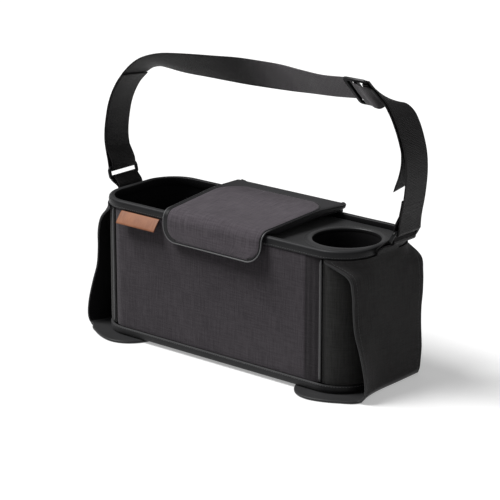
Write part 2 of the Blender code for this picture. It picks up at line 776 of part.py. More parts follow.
def strap_main():
    """One length: hemmed round the left ring, over the arch, through the slider, ending in a free tail."""
    bar = ring_bar(RING_LEFT, 1)
    wrap = ring_wrap(WEB)
    rise = [(bar[0] - wrap, 0, bar[1] + 1, 0), (bar[0] - wrap - 1.4, 0, bar[1] + 9, 0)]
    rise = smooth_route(rise + flat(LEFT_RISE, X_LEFT))
    fold = beside(rise, -(WEB + GAP))
    joined = [p for p in fold if p[2] > bar[1] + 20]
    hem = [(bar[0] + wrap, 0, bar[1] + 1, 0), (bar[0] + wrap - 1.2, 0, bar[1] + 7, 0)]
    hem = smooth_route(hem + joined[:1])[:-1]
    inner = (hem + joined)[::-1]
    loop = arc(bar, wrap, 0, -180, 8)
    clear = slider_clear()
    pitch = slider_pitch()
    half = SLIDER_BAR / 2
    threaded = ((-pitch - 9, clear * 0.7), (-pitch, clear + 0.1), (half - 0.35 - pitch, clear + 0.25))
    threaded += ((half + 1.35 - pitch, clear - 0.5), (-pitch / 2, 0), (-half - 1.35, 0.5 - clear))
    threaded += ((0.35 - half, -clear - 0.25), (0, -clear - 0.15), (3.5, -clear - 0.6))
    threaded += ((pitch - half - 2, -clear - WEB - 3 * GAP), (pitch + 3, -clear - WEB - 3 * GAP))
    fall = beside(anchor_fall(), -2 * (WEB + GAP) - 0.1)
    end = flat(TAIL_END, X_RIGHT)
    kept = [p for p in fall if p[0] > placed(SLIDER)[0] + pitch + 10 and p[2] > end[0][2] + 10]
    over = [tuple(rise[-1])] + flat(ARCH) + [on_slider(*step) for step in threaded]
    over = smooth_route(over + kept + end)
    webbing("strap_main", inner + loop[1:-1] + rise[:-1] + over, WEB, slant=4.0)


def anchor_fall():
    """Middle line of the anchor strap from the slider down to the right ring."""
    clear = slider_clear()
    pitch = slider_pitch()
    bar = ring_bar(RING_RIGHT, 1)
    wrap = ring_wrap(WEB)
    points = [on_slider(pitch, clear + 0.05), on_slider(pitch + 3, clear - 0.1)] + flat(RIGHT_FALL, X_RIGHT)
    points += [(bar[0] + wrap + 0.4, 0, bar[1] + 8, 0), (bar[0] + wrap, 0, bar[1] + 1, 0)]
    return smooth_route(points)


def strap_anchor():
    """Hemmed round the slider's right bar and round the right ring."""
    clear = slider_clear()
    pitch = slider_pitch()
    half = SLIDER_BAR / 2
    wrap = ring_wrap(WEB)
    turn = ((3.4, 0.2 - clear), (1.8, -clear), (0, -clear - 0.05), (0.45 - half, -clear - 0.25))
    turn += ((-half - 1.05, 0.35 - clear), (-half - 1.35, -1), (-half - 1.35, 1), (-half - 1.05, clear - 0.35))
    turn += ((0.45 - half, clear + 0.25),)
    fall = anchor_fall()
    turn = smooth_route([on_slider(pitch + along, out) for along, out in turn] + [tuple(fall[0])])[:-1]
    bar = ring_bar(RING_RIGHT, 1)
    loop = arc(bar, wrap, 0, -180, 8)
    fold = beside(fall, -(WEB + GAP))
    joined = [p for p in fold if bar[1] + 18 < p[2] < bar[1] + 36 and p[0] > X_RIGHT]
    back = [(bar[0] - wrap, 0, bar[1] + 1, 0), (bar[0] - wrap + 1.6, 0, bar[1] + 8, 0), joined[-1]]
    back = smooth_route(back)
    webbing("strap_anchor", turn + fall + loop[1:-1] + back[:-1] + joined[::-1], WEB)


def strap_tab(name, side, ring):
    """Short folded loop, sewn to the rim's outside and passing round the ring's lower bar."""
    rim = side * (abs(X_RIGHT if side > 0 else X_LEFT) + RIM_PROUD)
    bar = Vector(ring_bar(ring, -1))
    first = rim + side * (GAP + TAB_WEB / 2)
    second = first + side * (TAB_WEB + GAP)
    low = RIM_Z - RIM_BAND + 0.5
    wrap = ring_wrap(TAB_WEB)
    reach = (bar - Vector((first, low + 6))).normalized()
    upper = Vector((-reach.y * side, reach.x * side))
    start = math.degrees(math.atan2(upper.y, upper.x))
    loop = arc(bar, wrap, start, start - side * 180, 8)
    near = bar - reach * 11
    route = [(first, 0, low, 0), (first + side * 0.2, 0, low + 3, 0), (first + side * 1.6, 0, low + 6, 0)]
    route += [(near.x + upper.x * 1.6, 0, near.y + upper.y * 1.6, 0)]
    route = smooth_route(route + loop[:1])[:-1]
    last = [(near.x - upper.x * 1.6, 0, near.y - upper.y * 1.6, 0)]
    last += [(second + side * 1.7, 0, low + 4.5, 0), (second + side * 0.2, 0, low + 2, 0), (second, 0, low, 0)]
    last = smooth_route(loop[-1:] + last)[1:]
    webbing(name, route + loop + last, TAB_WEB)


def centre_footprint():
    """Moves the whole part so that its bounding box is centred on the origin in X and Y."""
    bpy.context.view_layer.update()
    shown = [obj for obj in bpy.data.objects if obj.type == "MESH" and not obj.hide_render]
    points = [obj.matrix_world @ v.co for obj in shown for v in obj.data.vertices]
    xs = [p.x for p in points]
    ys = [p.y for p in points]
    root.location = (-(min(xs) + max(xs)) / 2, -(min(ys) + max(ys)) / 2, 0)


clear_scene()
root = bpy.data.objects.new("organizer", None)
bpy.context.scene.collection.objects.link(root)
tub()
rim_binding()
base_binding()
long_panel("front_panel", -1)
long_panel("back_panel", 1)
end_panel("end_panel_left", -1)
end_panel("end_panel_right", 1)
for end_word, end_side in (("left", -1), ("right", 1)):
    seam_piping(f"seam_piping_front_{end_word}", end_side, -1)
    seam_piping(f"seam_piping_back_{end_word}", end_side, 1)
    wing(f"wing_{end_word}", end_side)
plate("bottom_panel", -BASE_LIP - SKIN - GAP, FOOT_GAP_Z, FOOT_GAP_Z + SKIN, WOVEN)
plate("base_board", TUB_IN - INSERT_PLAY, INSIDE_Z, INSIDE_Z + BASE_BOARD, BOARD_GREY)
divider("divider_left", DIVIDER_LEFT_X, RIM_Z - 10)
divider("divider_right", DIVIDER_RIGHT_X, DECK_Z - DECK - GAP)
cup_deck()
cup_sleeve()
lid()
magnets()
leather_tag()
metal_ring("ring_left", RING_LEFT)
metal_ring("ring_right", RING_RIGHT)
slider()
strap_main()
strap_anchor()
strap_tab("strap_tab_left", -1, RING_LEFT)
strap_tab("strap_tab_right", 1, RING_RIGHT)
centre_footprint()
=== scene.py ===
import math

import bmesh
import bpy
import numpy as np
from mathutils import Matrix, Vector


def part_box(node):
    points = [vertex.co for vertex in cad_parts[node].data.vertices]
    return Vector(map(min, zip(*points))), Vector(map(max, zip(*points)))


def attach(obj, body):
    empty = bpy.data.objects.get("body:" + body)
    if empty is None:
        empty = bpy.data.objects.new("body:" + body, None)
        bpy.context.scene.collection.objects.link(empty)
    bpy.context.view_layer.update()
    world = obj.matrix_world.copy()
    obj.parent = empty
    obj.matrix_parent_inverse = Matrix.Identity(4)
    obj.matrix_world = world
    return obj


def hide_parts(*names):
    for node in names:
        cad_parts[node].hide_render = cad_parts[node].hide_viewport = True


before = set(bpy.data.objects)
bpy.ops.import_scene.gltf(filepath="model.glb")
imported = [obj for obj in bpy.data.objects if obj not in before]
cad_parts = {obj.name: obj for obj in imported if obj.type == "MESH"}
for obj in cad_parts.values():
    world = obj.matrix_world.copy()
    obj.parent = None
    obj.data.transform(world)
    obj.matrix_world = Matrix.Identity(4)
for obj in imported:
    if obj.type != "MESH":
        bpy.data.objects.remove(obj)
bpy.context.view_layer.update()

# ---------------------------------------------------------------------------
# Studio: a white sweep, one soft key from the upper left, a weak fill from the
# right and an even sky. The camera has the photograph's angle and lens.
def put(name, data):
    """A new object in the scene."""
    made = bpy.data.objects.new(name, data)
    bpy.context.scene.collection.objects.link(made)
    return made


rim_low, rim_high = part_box("rim_binding")
middle_x = (rim_low.x + rim_high.x) / 2 - 0.0055

DISTANCE = 2.592
turn = math.radians(40.4)
climb = math.radians(17.1)
aim = Vector((middle_x, 0.0, 0.1164))
flat_away = math.cos(climb)
away = Vector((math.sin(turn) * flat_away, -math.cos(turn) * flat_away, math.sin(climb)))
lens = bpy.data.cameras.new("camera")
lens.lens = 168.2
lens.sensor_width = 36.0
lens.clip_end = 50.0
camera = put("camera", lens)
camera.location = aim + away * DISTANCE
camera.rotation_euler = away.to_track_quat("Z", "Y").to_euler()
bpy.context.scene.camera = camera
bpy.context.scene.view_settings.view_transform = "Standard"


def sun(name, towards, strength, softness):
    """A lamp far away, shining from a direction given from the object."""
    light = bpy.data.lights.new(name, "SUN")
    light.energy = strength
    light.angle = math.radians(softness)
    put(name, light).rotation_euler = Vector(towards).to_track_quat("Z", "Y").to_euler()


sun("key", (-0.50, -0.42, 1.0), 2.9, 30)
sun("fill", (0.9, -0.35, 0.45), 0.12, 60)


class Wire:
    """One value in a finish; arithmetic on it adds Math nodes."""

    def __init__(self, finish, socket):
        self.finish = finish
        self.socket = socket

    def math(self, operation, *others):
        values = dict(enumerate((self, *others)))
        return self.finish.node("ShaderNodeMath", {"operation": operation}, values)

    def __add__(self, other):
        return self.math("ADD", other)

    def __sub__(self, other):
        return self.math("SUBTRACT", other)

    def __mul__(self, other):
        return self.math("MULTIPLY", other)

    def __rsub__(self, other):
        return self.finish.node("ShaderNodeMath", {"operation": "SUBTRACT"}, {0: other, 1: self})

    __radd__ = __add__
    __rmul__ = __mul__

    def sin(self):
        return self.math("SINE")

    def between(self, low, high):
        """0 below low, 1 above high and smooth in between."""
        sockets = {"Value": self, "From Min": low, "From Max": high}
        return self.finish.node("ShaderNodeMapRange", {"interpolation_type": "SMOOTHSTEP"}, sockets)


class Finish:
    """A material being made up: node() adds any node, show() feeds the surface."""

    def __init__(self, name, roughness, **constants):
        self.material = bpy.data.materials.new(name)
        self.material.use_nodes = True
        self.tree = self.material.node_tree
        self.surface = self.tree.nodes["Principled BSDF"]
        self.surface.inputs["Roughness"].default_value = roughness
        for key, value in constants.items():
            self.surface.inputs[key.replace("_", " ")].default_value = value

    def node(self, kind, settings=None, sockets=None, output=0):
        made = self.tree.nodes.new(kind)
        for key, value in (settings or {}).items():
            setattr(made, key, value)
        for key, value in (sockets or {}).items():
            self.feed(made.inputs[key], value)
        return Wire(self, made.outputs[output])

    def feed(self, socket, value):
        if isinstance(value, Wire):
            self.tree.links.new(value.socket, socket)
        elif hasattr(value, "__len__") and len(value) == 3 and socket.type == "RGBA":
            socket.default_value = (*value, 1)
        else:
            socket.default_value = value

    def show(self, **sockets):
        for key, value in sockets.items():
            self.feed(self.surface.inputs[key.replace("_", " ")], value)

    def blend(self, factor, first, second):
        sockets = {0: factor, 6: first, 7: second}
        return self.node("ShaderNodeMix", {"data_type": "RGBA"}, sockets, 2)

    def place(self, kind="Object"):
        return self.node("ShaderNodeTexCoord", output=kind)

    def axis(self, place, letter):
        """One coordinate of a place."""
        return self.node("ShaderNodeSeparateXYZ", None, {0: place}, letter)

    def noise(self, place, scale, detail=2.0, stretch=(1, 1, 1)):
        if stretch != (1, 1, 1):
            place = self.node("ShaderNodeMapping", None, {"Vector": place, "Scale": stretch})
        sockets = {"Vector": place, "Scale": scale, "Detail": detail}
        return self.node("ShaderNodeTexNoise", None, sockets)

    def bump(self, height, depth, strength=1.0):
        sockets = {"Height": height, "Distance": depth, "Strength": strength}
        self.show(Normal=self.node("ShaderNodeBump", None, sockets))


FLOOR_HALF = 15
sweep = Finish("white_sweep", 1.0, Specular_IOR_Level=0.0)
sweep.show(Base_Color=(0.80, 0.80, 0.80))
seen = sweep.node("ShaderNodeLightPath", output="Is Camera Ray")
seen = seen.math("MAXIMUM", sweep.node("ShaderNodeLightPath", output="Is Glossy Ray"))
glow = sweep.node("ShaderNodeEmission", None, {"Color": (1, 1, 1), "Strength": 0.34})
plain = Wire(sweep, sweep.surface.outputs[0])
bright = sweep.node("ShaderNodeAddShader", None, {0: plain, 1: glow})
quiet = sweep.node("ShaderNodeBsdfDiffuse", None, {"Color": (0.22, 0.22, 0.22)})
both = sweep.node("ShaderNodeMixShader", None, {0: seen, 1: quiet, 2: bright})
sweep.tree.links.new(both.socket, sweep.tree.nodes["Material Output"].inputs["Surface"])
sweep_mesh = bpy.data.meshes.new("floor")
floor_corners = [(x * FLOOR_HALF, y * FLOOR_HALF, 0) for x, y in ((-1, -1), (1, -1), (1, 1), (-1, 1))]
sweep_mesh.from_pydata(floor_corners, [], [(0, 1, 2, 3)])
sweep_mesh.materials.append(sweep.material)
put("floor", sweep_mesh)

world = bpy.data.worlds.new("sky")
world.use_nodes = True
bpy.context.scene.world = world
sky = world.node_tree
sky_light = sky.nodes["Background"]
sky_light.inputs["Color"].default_value = (1, 1, 1, 1)
sky_light.inputs["Strength"].default_value = 0.20
sky_seen, sky_path, sky_either, sky_mix = (
    sky.nodes.new(f"ShaderNode{kind}") for kind in ("Background", "LightPath", "Math", "MixShader"))
sky_seen.inputs["Strength"].default_value = 1.0
sky_either.operation = "MAXIMUM"
for source, target in (
    (sky_path.outputs["Is Camera Ray"], sky_either.inputs[0]),
    (sky_path.outputs["Is Transmission Ray"], sky_either.inputs[1]),
    (sky_either.outputs[0], sky_mix.inputs[0]), (sky_light.outputs[0], sky_mix.inputs[1]),
    (sky_seen.outputs[0], sky_mix.inputs[2]),
    (sky_mix.outputs[0], sky.nodes["World Output"].inputs["Surface"]),
):
    sky.links.new(source, target)

# ---------------------------------------------------------------------------
# Tub: the stiff inner box. Its lining is thin black cloth glued over board,
# turned over the top edge and closed by the rim's binding.
LEFT = rim_low.x + 0.0008
RIGHT = rim_high.x - 0.0008
HALF = 0.0635
CORNER = 0.040
LONG = RIGHT - LEFT - 2 * CORNER
SHORT = 2 * (HALF - CORNER)
ARC = CORNER * math.pi / 2
ROUND = 2 * (LONG + SHORT) + 4 * ARC


def wall(s, out=0.0):
    """Plan points at a distance s along the body's outline, from the front's left corner to the right."""
    s = np.mod(np.asarray(s, float), ROUND)
    x, y = np.zeros_like(s), np.zeros_like(s)
    side, ahead = np.zeros_like(s), np.zeros_like(s)
    start = 0.0
    runs = (
        (LONG, LEFT + CORNER, -HALF, 1, 0), (ARC, RIGHT - CORNER, CORNER - HALF, -90, None),
        (SHORT, RIGHT, CORNER - HALF, 0, 1), (ARC, RIGHT - CORNER, HALF - CORNER, 0, None),
        (LONG, RIGHT - CORNER, HALF, -1, 0), (ARC, LEFT + CORNER, HALF - CORNER, 90, None),
        (SHORT, LEFT, HALF - CORNER, 0, -1), (ARC, LEFT + CORNER, CORNER - HALF, 180, None),
    )
    for length, x0, y0, a, b in runs:
        on = (s >= start - 1e-9) & (s <= start + length + 1e-9)
        t = s[on] - start
        if b is None:
            angle = math.radians(a) + t / CORNER
            side[on], ahead[on] = np.cos(angle), np.sin(angle)
            x[on], y[on] = x0 + CORNER * side[on], y0 + CORNER * ahead[on]
        else:
            side[on], ahead[on] = b, -a
            x[on], y[on] = x0 + a * t, y0 + b * t
        start += length
    return np.stack([x + side * out, y + ahead * out], -1)


def skin(name, rows, finish, sharp=35, closed=False):
    """A closed shell through loops of equal length. Its UV is in metres along the cloth."""
    rows = np.asarray(rows, float)
    count, around = rows.shape[:2]
    step = np.linalg.norm(np.diff(rows, axis=1, append=rows[:, :1]), axis=2)
    u = np.concatenate([[0], np.cumsum(step.mean(0))])
    drop = np.linalg.norm(np.diff(rows, axis=0, append=rows[:1]), axis=2)
    v = np.concatenate([[0], np.cumsum(drop.mean(1))])
    faces, coords = [], []
    for i in range(count if closed else count - 1):
        k = (i + 1) % count
        for j in range(around):
            m = (j + 1) % around
            faces.append((i * around + j, i * around + m, k * around + m, k * around + j))
            coords += [(u[j], v[i]), (u[j + 1], v[i]), (u[j + 1], v[i + 1]), (u[j], v[i + 1])]
    if not closed:
        for i in (0, count - 1):
            face = [i * around + j for j in range(around)]
            faces.append(tuple(face[::-1] if i == 0 else face))
            ring = rows[i][::-1] if i == 0 else rows[i]
            coords += [(p[0], p[1]) for p in ring]
    mesh = bpy.data.meshes.new(name)
    mesh.from_pydata(rows.reshape(-1, 3).tolist(), [], faces)
    uv = mesh.uv_layers.new(name="cloth")
    uv.data.foreach_set("uv", np.array(coords, np.float32).ravel())
    corners = rows.reshape(-1, 3)
    volume = sum(float(np.dot(corners[f[0]], np.cross(corners[f[a]], corners[f[a + 1]])))
                 for f in faces for a in range(1, len(f) - 1))
    if volume < 0:
        mesh.flip_normals()
    mesh.shade_smooth()
    mesh.set_sharp_from_angle(angle=math.radians(sharp))
    mesh.materials.append(finish.material)
    return put(name, mesh)


def repaint(piece, finish, picked):
    """A further finish on the faces that a rule picks."""
    piece.data.materials.append(finish.material)
    for face in piece.data.polygons:
        if picked(face):
            face.material_index = len(piece.data.materials) - 1


def dress(piece, slot, *nodes, body="organizer"):
    """The piece rides a body and stands for its CAD solids. Its slot is not used."""
    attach(piece, body)
    if nodes:
        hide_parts(*nodes)


def ripple(points, wave, height, seed):
    """A smooth, repeatable unevenness: the sum of a few slanted waves."""
    chance = np.random.default_rng(seed)
    total = np.zeros(points.shape[:-1])
    for _ in range(6):
        direction = chance.normal(size=3)
        direction *= 2 * math.pi / (wave * chance.uniform(0.7, 1.6)) / np.linalg.norm(direction)
        total += np.sin(points @ direction + chance.uniform(0, 6.3))
    return total * height / 6


def level(path, z):
    """A plan path lifted to one height."""
    return np.concatenate([path, np.full((len(path), 1), z)], 1)


lining = Finish("lining_cloth", 0.9, Specular_IOR_Level=0.12)
lining_uv = lining.place("UV")
lining_u = lining.axis(lining_uv, "X")
lining_v = lining.axis(lining_uv, "Y")
lining_weave = (lining_u * 5200).sin() * (lining_v * 5200).sin()
lining_cloud = lining.noise(lining.place(), 40)
lining.show(Base_Color=lining.blend(lining_cloud, (0.0035, 0.0035, 0.004), (0.009, 0.0085, 0.009)))
lining.bump(lining_weave, 0.0002, 0.5)

loop = np.linspace(0, ROUND, 200, endpoint=False)


def rings(section):
    """Rows round the body, one for each point (out, z) of a section."""
    return [level(wall(loop, out), z) for out, z in section]


tub_rows = rings(((-0.0062, 0.0058), (-0.0040, 0.0080), (-0.0038, 0.1594), (-0.0044, 0.1596)))
for z in np.linspace(0.156, 0.014, 24):
    ring = level(wall(loop, -0.0046), z)
    sag = ripple(ring, 0.09, 0.0007, 3) * math.sin(math.pi * (z - 0.01) / 0.15)
    tub_rows.append(level(wall(loop, -0.0048 + sag), z))
tub = skin("tub_lining", tub_rows + rings(((-0.0056, 0.0105), (-0.0080, 0.0088))), lining)
dress(tub, "lining", "tub")

# ---------------------------------------------------------------------------
# Inside the tub: a stiff board on the floor and two padded walls. Each is foam
# wrapped in the lining cloth, sewn round its edge and pulled in there.
board_section = ((-0.0064, 0.0090), (-0.0054, 0.0094), (-0.0054, 0.0106), (-0.0064, 0.0111), (-0.012, 0.0111))
floor_board = skin("floor_board", rings(board_section), lining)
dress(floor_board, "board", "base_board")


def padded_wall(name, node):
    """A slab of foam across the tub: swollen in the middle, thin and round at its edge."""
    low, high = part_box(node)
    centre = (low + high) / 2
    tall = (high.z - low.z) / 2
    wide = (high.y - low.y) / 2
    thick = (high.x - low.x) / 2
    turns = np.linspace(0, 2 * math.pi, 96, endpoint=False)
    cos, sin = np.cos(turns), np.sin(turns)
    edge_y = np.sign(cos) * np.abs(cos) ** 0.28 * wide
    edge_z = np.sign(sin) * np.abs(sin) ** 0.28 * tall
    rows = []
    sizes = (0.05, 0.5, 0.86, 0.95, 0.985)
    for side, size in [(-1, share) for share in sizes] + [(1, share) for share in sizes[::-1]]:
        swell = thick * (0.55 + 0.45 * min(1, (1 - size) * 9))
        x = np.full(len(turns), centre.x + side * (swell if size < 0.98 else thick * 0.4))
        rows.append(np.stack([x, centre.y + edge_y * size, centre.z + edge_z * size], 1))
    rim_row = np.stack([np.full(len(turns), centre.x), centre.y + edge_y, centre.z + edge_z], 1)
    rows.insert(len(sizes), rim_row)
    piece = skin(name, rows, lining, 60)
    dress(piece, "lining", node)


padded_wall("padded_wall_left", "divider_left")
padded_wall("padded_wall_right", "divider_right")

# ---------------------------------------------------------------------------
# Outer panels: a tightly woven melange cloth over board. The front and the back
# are one piece each, drawn in at the seams and a little uneven between them.
SEAM_LEFT = -math.radians(22.0) * CORNER
SEAM_RIGHT = LONG + math.radians(5.7) * CORNER


def woven(name, dark, light, lift=0.00022, painted_shade_from=None):
    """Melange cloth: slubs in two thread directions over a fine plain weave.

    Past painted_shade_from, along X, painted shade makes it darker. It stands in for the wall turning away
    from the light near a corner.
    """
    cloth = Finish(name, 0.86, Sheen_Weight=0.12, Sheen_Roughness=0.45, Specular_IOR_Level=0.25)
    place = cloth.place("UV")
    u = cloth.axis(place, "X")
    v = cloth.axis(place, "Y")
    upright = cloth.noise(place, 1.0, 2.0, (620, 48, 1))
    level_thread = cloth.noise(place, 1.0, 2.0, (48, 620, 1))
    fleck = cloth.noise(place, 900, 1.0)
    weave = (u * 6200).sin() * (v * 6200).sin()
    cloud = cloth.noise(cloth.place(), 14)
    mix = upright * 0.75 + level_thread * 0.6 + fleck * 0.35 + weave * 0.05 + cloud * 0.35
    tone = cloth.blend(mix.between(0.55, 1.5), dark, light)
    # Painted shade: past the given X the tones fall to under half.
    if painted_shade_from is not None:
        painted_shade_x = cloth.axis(cloth.place(), "X")
        painted_shade_tones = [0.42 * c for c in dark], [0.46 * c for c in light]
        painted_shade_tone = cloth.blend(mix.between(0.55, 1.5), *painted_shade_tones)
        tone = cloth.blend(painted_shade_x.between(painted_shade_from - 0.0012, painted_shade_from + 0.0012), tone, painted_shade_tone)
    cloth.show(Base_Color=tone)
    cloth.bump(weave * 0.4 + upright * 0.6 + level_thread * 0.6, lift)
    return cloth


MELANGE = (0.034, 0.028, 0.034), (0.092, 0.081, 0.091)
TURNED = 0.0195
outer_cloth = woven("melange_cloth", *MELANGE)
# The front's right end gets painted shade for the wall turning away from the light before its corner.
front_finish = woven("front_melange_cloth", *MELANGE, painted_shade_from=RIGHT - CORNER - TURNED + 0.0025)
# The ends' cloth is a darker copy of the melange: painted shade for ends turned away from the key lamp.
end_cloth = woven("end_cloth", (0.017, 0.017, 0.016), (0.044, 0.043, 0.042))


PANEL_FOOT, PANEL_RISE, PANEL_THICK = 0.013, 0.139, 0.0011


def panel(name, node, first, last, seed, cloth, pleated=False):
    """A wall panel between two seams, its edge turned in all round.

    A pleated one falls in before its last seam.
    """
    across = np.linspace(first, last, max(30, int((last - first) / 0.0014)))
    ahead = last - across
    from_edge = np.minimum(across - first, ahead)
    ends = [0, 0.004, 0.012, 0.025], [0.975, 0.988, 0.996, 1]
    rows = []
    for t in np.concatenate([ends[0], np.linspace(0.05, 0.95, 30), ends[1]]):
        z = PANEL_FOOT + PANEL_RISE * t
        from_end = min(t, 1 - t) * PANEL_RISE
        tuck = -0.0010 * np.exp(-from_edge / 0.0016) - 0.0009 * math.exp(-from_end / 0.0018)
        bend = -0.0016 * np.exp(-((from_edge - 0.001) / 0.007) ** 2)
        spots = level(wall(across), z)
        out = tuck + bend + ripple(spots, 0.11, 0.0005, seed) * np.minimum(1, from_edge / 0.03)
        if pleated:
            near = np.clip((TURNED + 0.001 - ahead) / 0.004, 0, 1) * np.clip(ahead / 0.004, 0, 1)
            pleats = 0.0013 + 0.00035 * np.sin(ahead / 0.0042 * math.pi)
            out -= near * pleats * math.sin(math.pi * t) ** 0.3
        front = level(wall(across, out), z)
        back = level(wall(across, out - PANEL_THICK), z)[::-1]
        rows.append(np.concatenate([front, back]))
    piece = skin(name, rows, cloth)
    dress(piece, "woven", node)


HALF_SEAM = 0.0015
back_start = LONG + 2 * ARC + SHORT - (SEAM_RIGHT - LONG)
back_end = 2 * LONG + 2 * ARC + SHORT - SEAM_LEFT
for name, node, first, last, seed, cloth in (
    ("front_cloth", "front_panel", SEAM_LEFT, SEAM_RIGHT, 11, front_finish),
    ("right_cloth", "end_panel_right", SEAM_RIGHT, back_start, 12, end_cloth),
    ("back_cloth", "back_panel", back_start, back_end, 13, outer_cloth),
    ("left_cloth", "end_panel_left", back_end, ROUND + SEAM_LEFT, 14, end_cloth),
):
    panel(name, node, first + HALF_SEAM, last - HALF_SEAM, seed, cloth, cloth is front_finish)

# ---------------------------------------------------------------------------
# Piped seams: a cord inside a folded strip of the smooth trim cloth, upright
# where the front and the back meet the ends. Each fades out at both its ends.
def smooth_trim(name, dark, light, roughness=0.52, fold=None, end=None, shine=0.4):
    """Smooth bonded cloth with a fine grain and a soft shine.

    Above the height fold a painted highlight makes it paler, and past end, along X, painted shade makes it
    darker.
    """
    trim = Finish(name, roughness, Sheen_Weight=0.25 * shine, Specular_IOR_Level=shine)
    place = trim.place()
    cloud = trim.noise(place, 18, 3)
    grain = trim.noise(place, 1500, 2)
    tone = trim.blend((cloud * 0.8 + grain * 0.4).between(0.3, 0.95), dark, light)
    if fold is not None:
        height = trim.axis(place, "Z")
        # Painted highlight above the fold.
        tone = trim.blend(height.between(fold - 0.0006, fold + 0.0006), tone, [1.6 * c for c in light])
    if end is not None:
        along = trim.axis(place, "X")
        # Painted shade past end, along X.
        tone = trim.blend(along.between(end - 0.004, end + 0.010), tone, [0.5 * c for c in dark])
    trim.show(Base_Color=tone)
    trim.show(Roughness=grain * 0.2 + (roughness - 0.1))
    trim.bump(grain * 0.7 + cloud * 0.3, 0.00012)
    return trim


trim_cloth = smooth_trim("smooth_trim_cloth", (0.022, 0.022, 0.023), (0.038, 0.038, 0.039), 0.48, shine=0.28)
pale_trim = smooth_trim("piping_cloth", (0.085, 0.086, 0.088), (0.135, 0.136, 0.139), 0.42)


def bead(name, path, radius, finish, upright=(0, 0, 1), closed=False, flat=1.0):
    """A round cord along a path. Its radius, and how flat it is, may change from point to point."""
    path = np.asarray(path, float)
    radius = np.broadcast_to(radius, len(path))
    flat = np.broadcast_to(flat, len(path))
    run = np.roll(path, -1, 0) - np.roll(path, 1, 0) if closed else np.gradient(path, axis=0)
    run /= np.linalg.norm(run, axis=1)[:, None]
    up = np.broadcast_to(np.asarray(upright, float), path.shape)
    side = np.cross(run, up)
    side /= np.linalg.norm(side, axis=1)[:, None]
    over = np.cross(side, run)
    turns = np.linspace(0, 2 * math.pi, 12, endpoint=False)
    rows = [p + (np.outer(np.cos(turns), a) + np.outer(np.sin(turns), b) * f) * r
            for p, a, b, r, f in zip(path, side, over, radius, flat)]
    return skin(name, rows, finish, 50, closed)


seam_places = {
    "front_left": SEAM_LEFT, "front_right": SEAM_RIGHT, "back_right": back_start, "back_left": back_end,
}
for word, place in seam_places.items():
    ends = [0.0145, 0.0165, 0.019], [0.148, 0.1495, 0.1503]
    heights = np.concatenate([ends[0], np.linspace(0.022, 0.145, 30), ends[1]])
    fade = np.clip(np.minimum(heights - 0.0138, 0.1508 - heights) / 0.0035, 0.12, 1)
    out = -0.0012 + 0.0011 * fade
    path = wall(np.full(len(heights), place), 0.0)
    normal = wall(np.array([place]), 1.0)[0] - wall(np.array([place]), 0.0)[0]
    path = np.column_stack([path + normal * out[:, None], heights])
    piping = bead(f"piping_{word}", path, 0.0013 * fade, pale_trim, upright=(normal[0], normal[1], 0))
    dress(piping, "smooth_trim", f"seam_piping_{word}")

# ---------------------------------------------------------------------------
# Base: a woven bottom panel and the smooth binding that turns under the wall's
# lower edge.
bottom_section = ((-0.0074, 0.0039), (-0.0073, 0.0046), (-0.0076, 0.0052))
bottom = skin("bottom_cloth", rings(bottom_section), outer_cloth)
dress(bottom, "woven", "bottom_panel")

base_section = (
    (-0.0068, 0.0039), (-0.0006, 0.0039), (0.0003, 0.0044), (0.0008, 0.0056),
    (0.0010, 0.0082), (0.0008, 0.0108), (0.0003, 0.0122), (-0.0005, 0.0126),
    (-0.0013, 0.0124), (-0.0014, 0.0058), (-0.0030, 0.0052), (-0.0068, 0.0052),
)
BINDING = (0.017, 0.017, 0.018), (0.030, 0.030, 0.031)
BASE_SEWN = 0.0112
# BASE_SEWN as fold puts a painted highlight along the binding's top, and past RIGHT - CORNER painted shade
# darkens its right end.
base_cloth = smooth_trim("base_binding_cloth", *BINDING, 0.5, BASE_SEWN, RIGHT - CORNER, 0.2)
base_band = skin("base_band", rings(base_section), base_cloth, 50, True)
dress(base_band, "smooth_trim", "base_binding")

# ---------------------------------------------------------------------------
# Rim: the same smooth cloth bound over the tub's top edge in one strip, with a
# row of stitches through it near its lower edge.
rim_section = (
    (0.0006, 0.1525), (0.0011, 0.1532), (0.0013, 0.1555), (0.0012, 0.1585), (0.0006, 0.1605),
    (-0.0006, 0.1616), (-0.0024, 0.1620), (-0.0040, 0.1618), (-0.0053, 0.1610), (-0.0061, 0.1595),
    (-0.0063, 0.1570), (-0.0062, 0.1535), (-0.0057, 0.1525), (-0.0050, 0.1525), (-0.0050, 0.1597),
    (-0.0013, 0.1597), (-0.0012, 0.1525),
)
rim_rows = rings(rim_section)
for ring in rim_rows:
    ring[:, 2] += ripple(ring, 0.05, 0.00018, 21) * (ring[0, 2] > 0.158)
rim_tones = (0.010, 0.010, 0.011), (0.020, 0.020, 0.021)
# The fold puts a painted highlight along the rim's top edge.
rim_cloth = smooth_trim("rim_binding_cloth", *rim_tones, 0.46, fold=0.1604, shine=0.16)
rim = skin("rim_band", rim_rows, rim_cloth, 50, True)
repaint(rim, lining, lambda face: 8 <= face.index // len(loop) < 14)
dress(rim, "smooth_trim", "rim_binding")


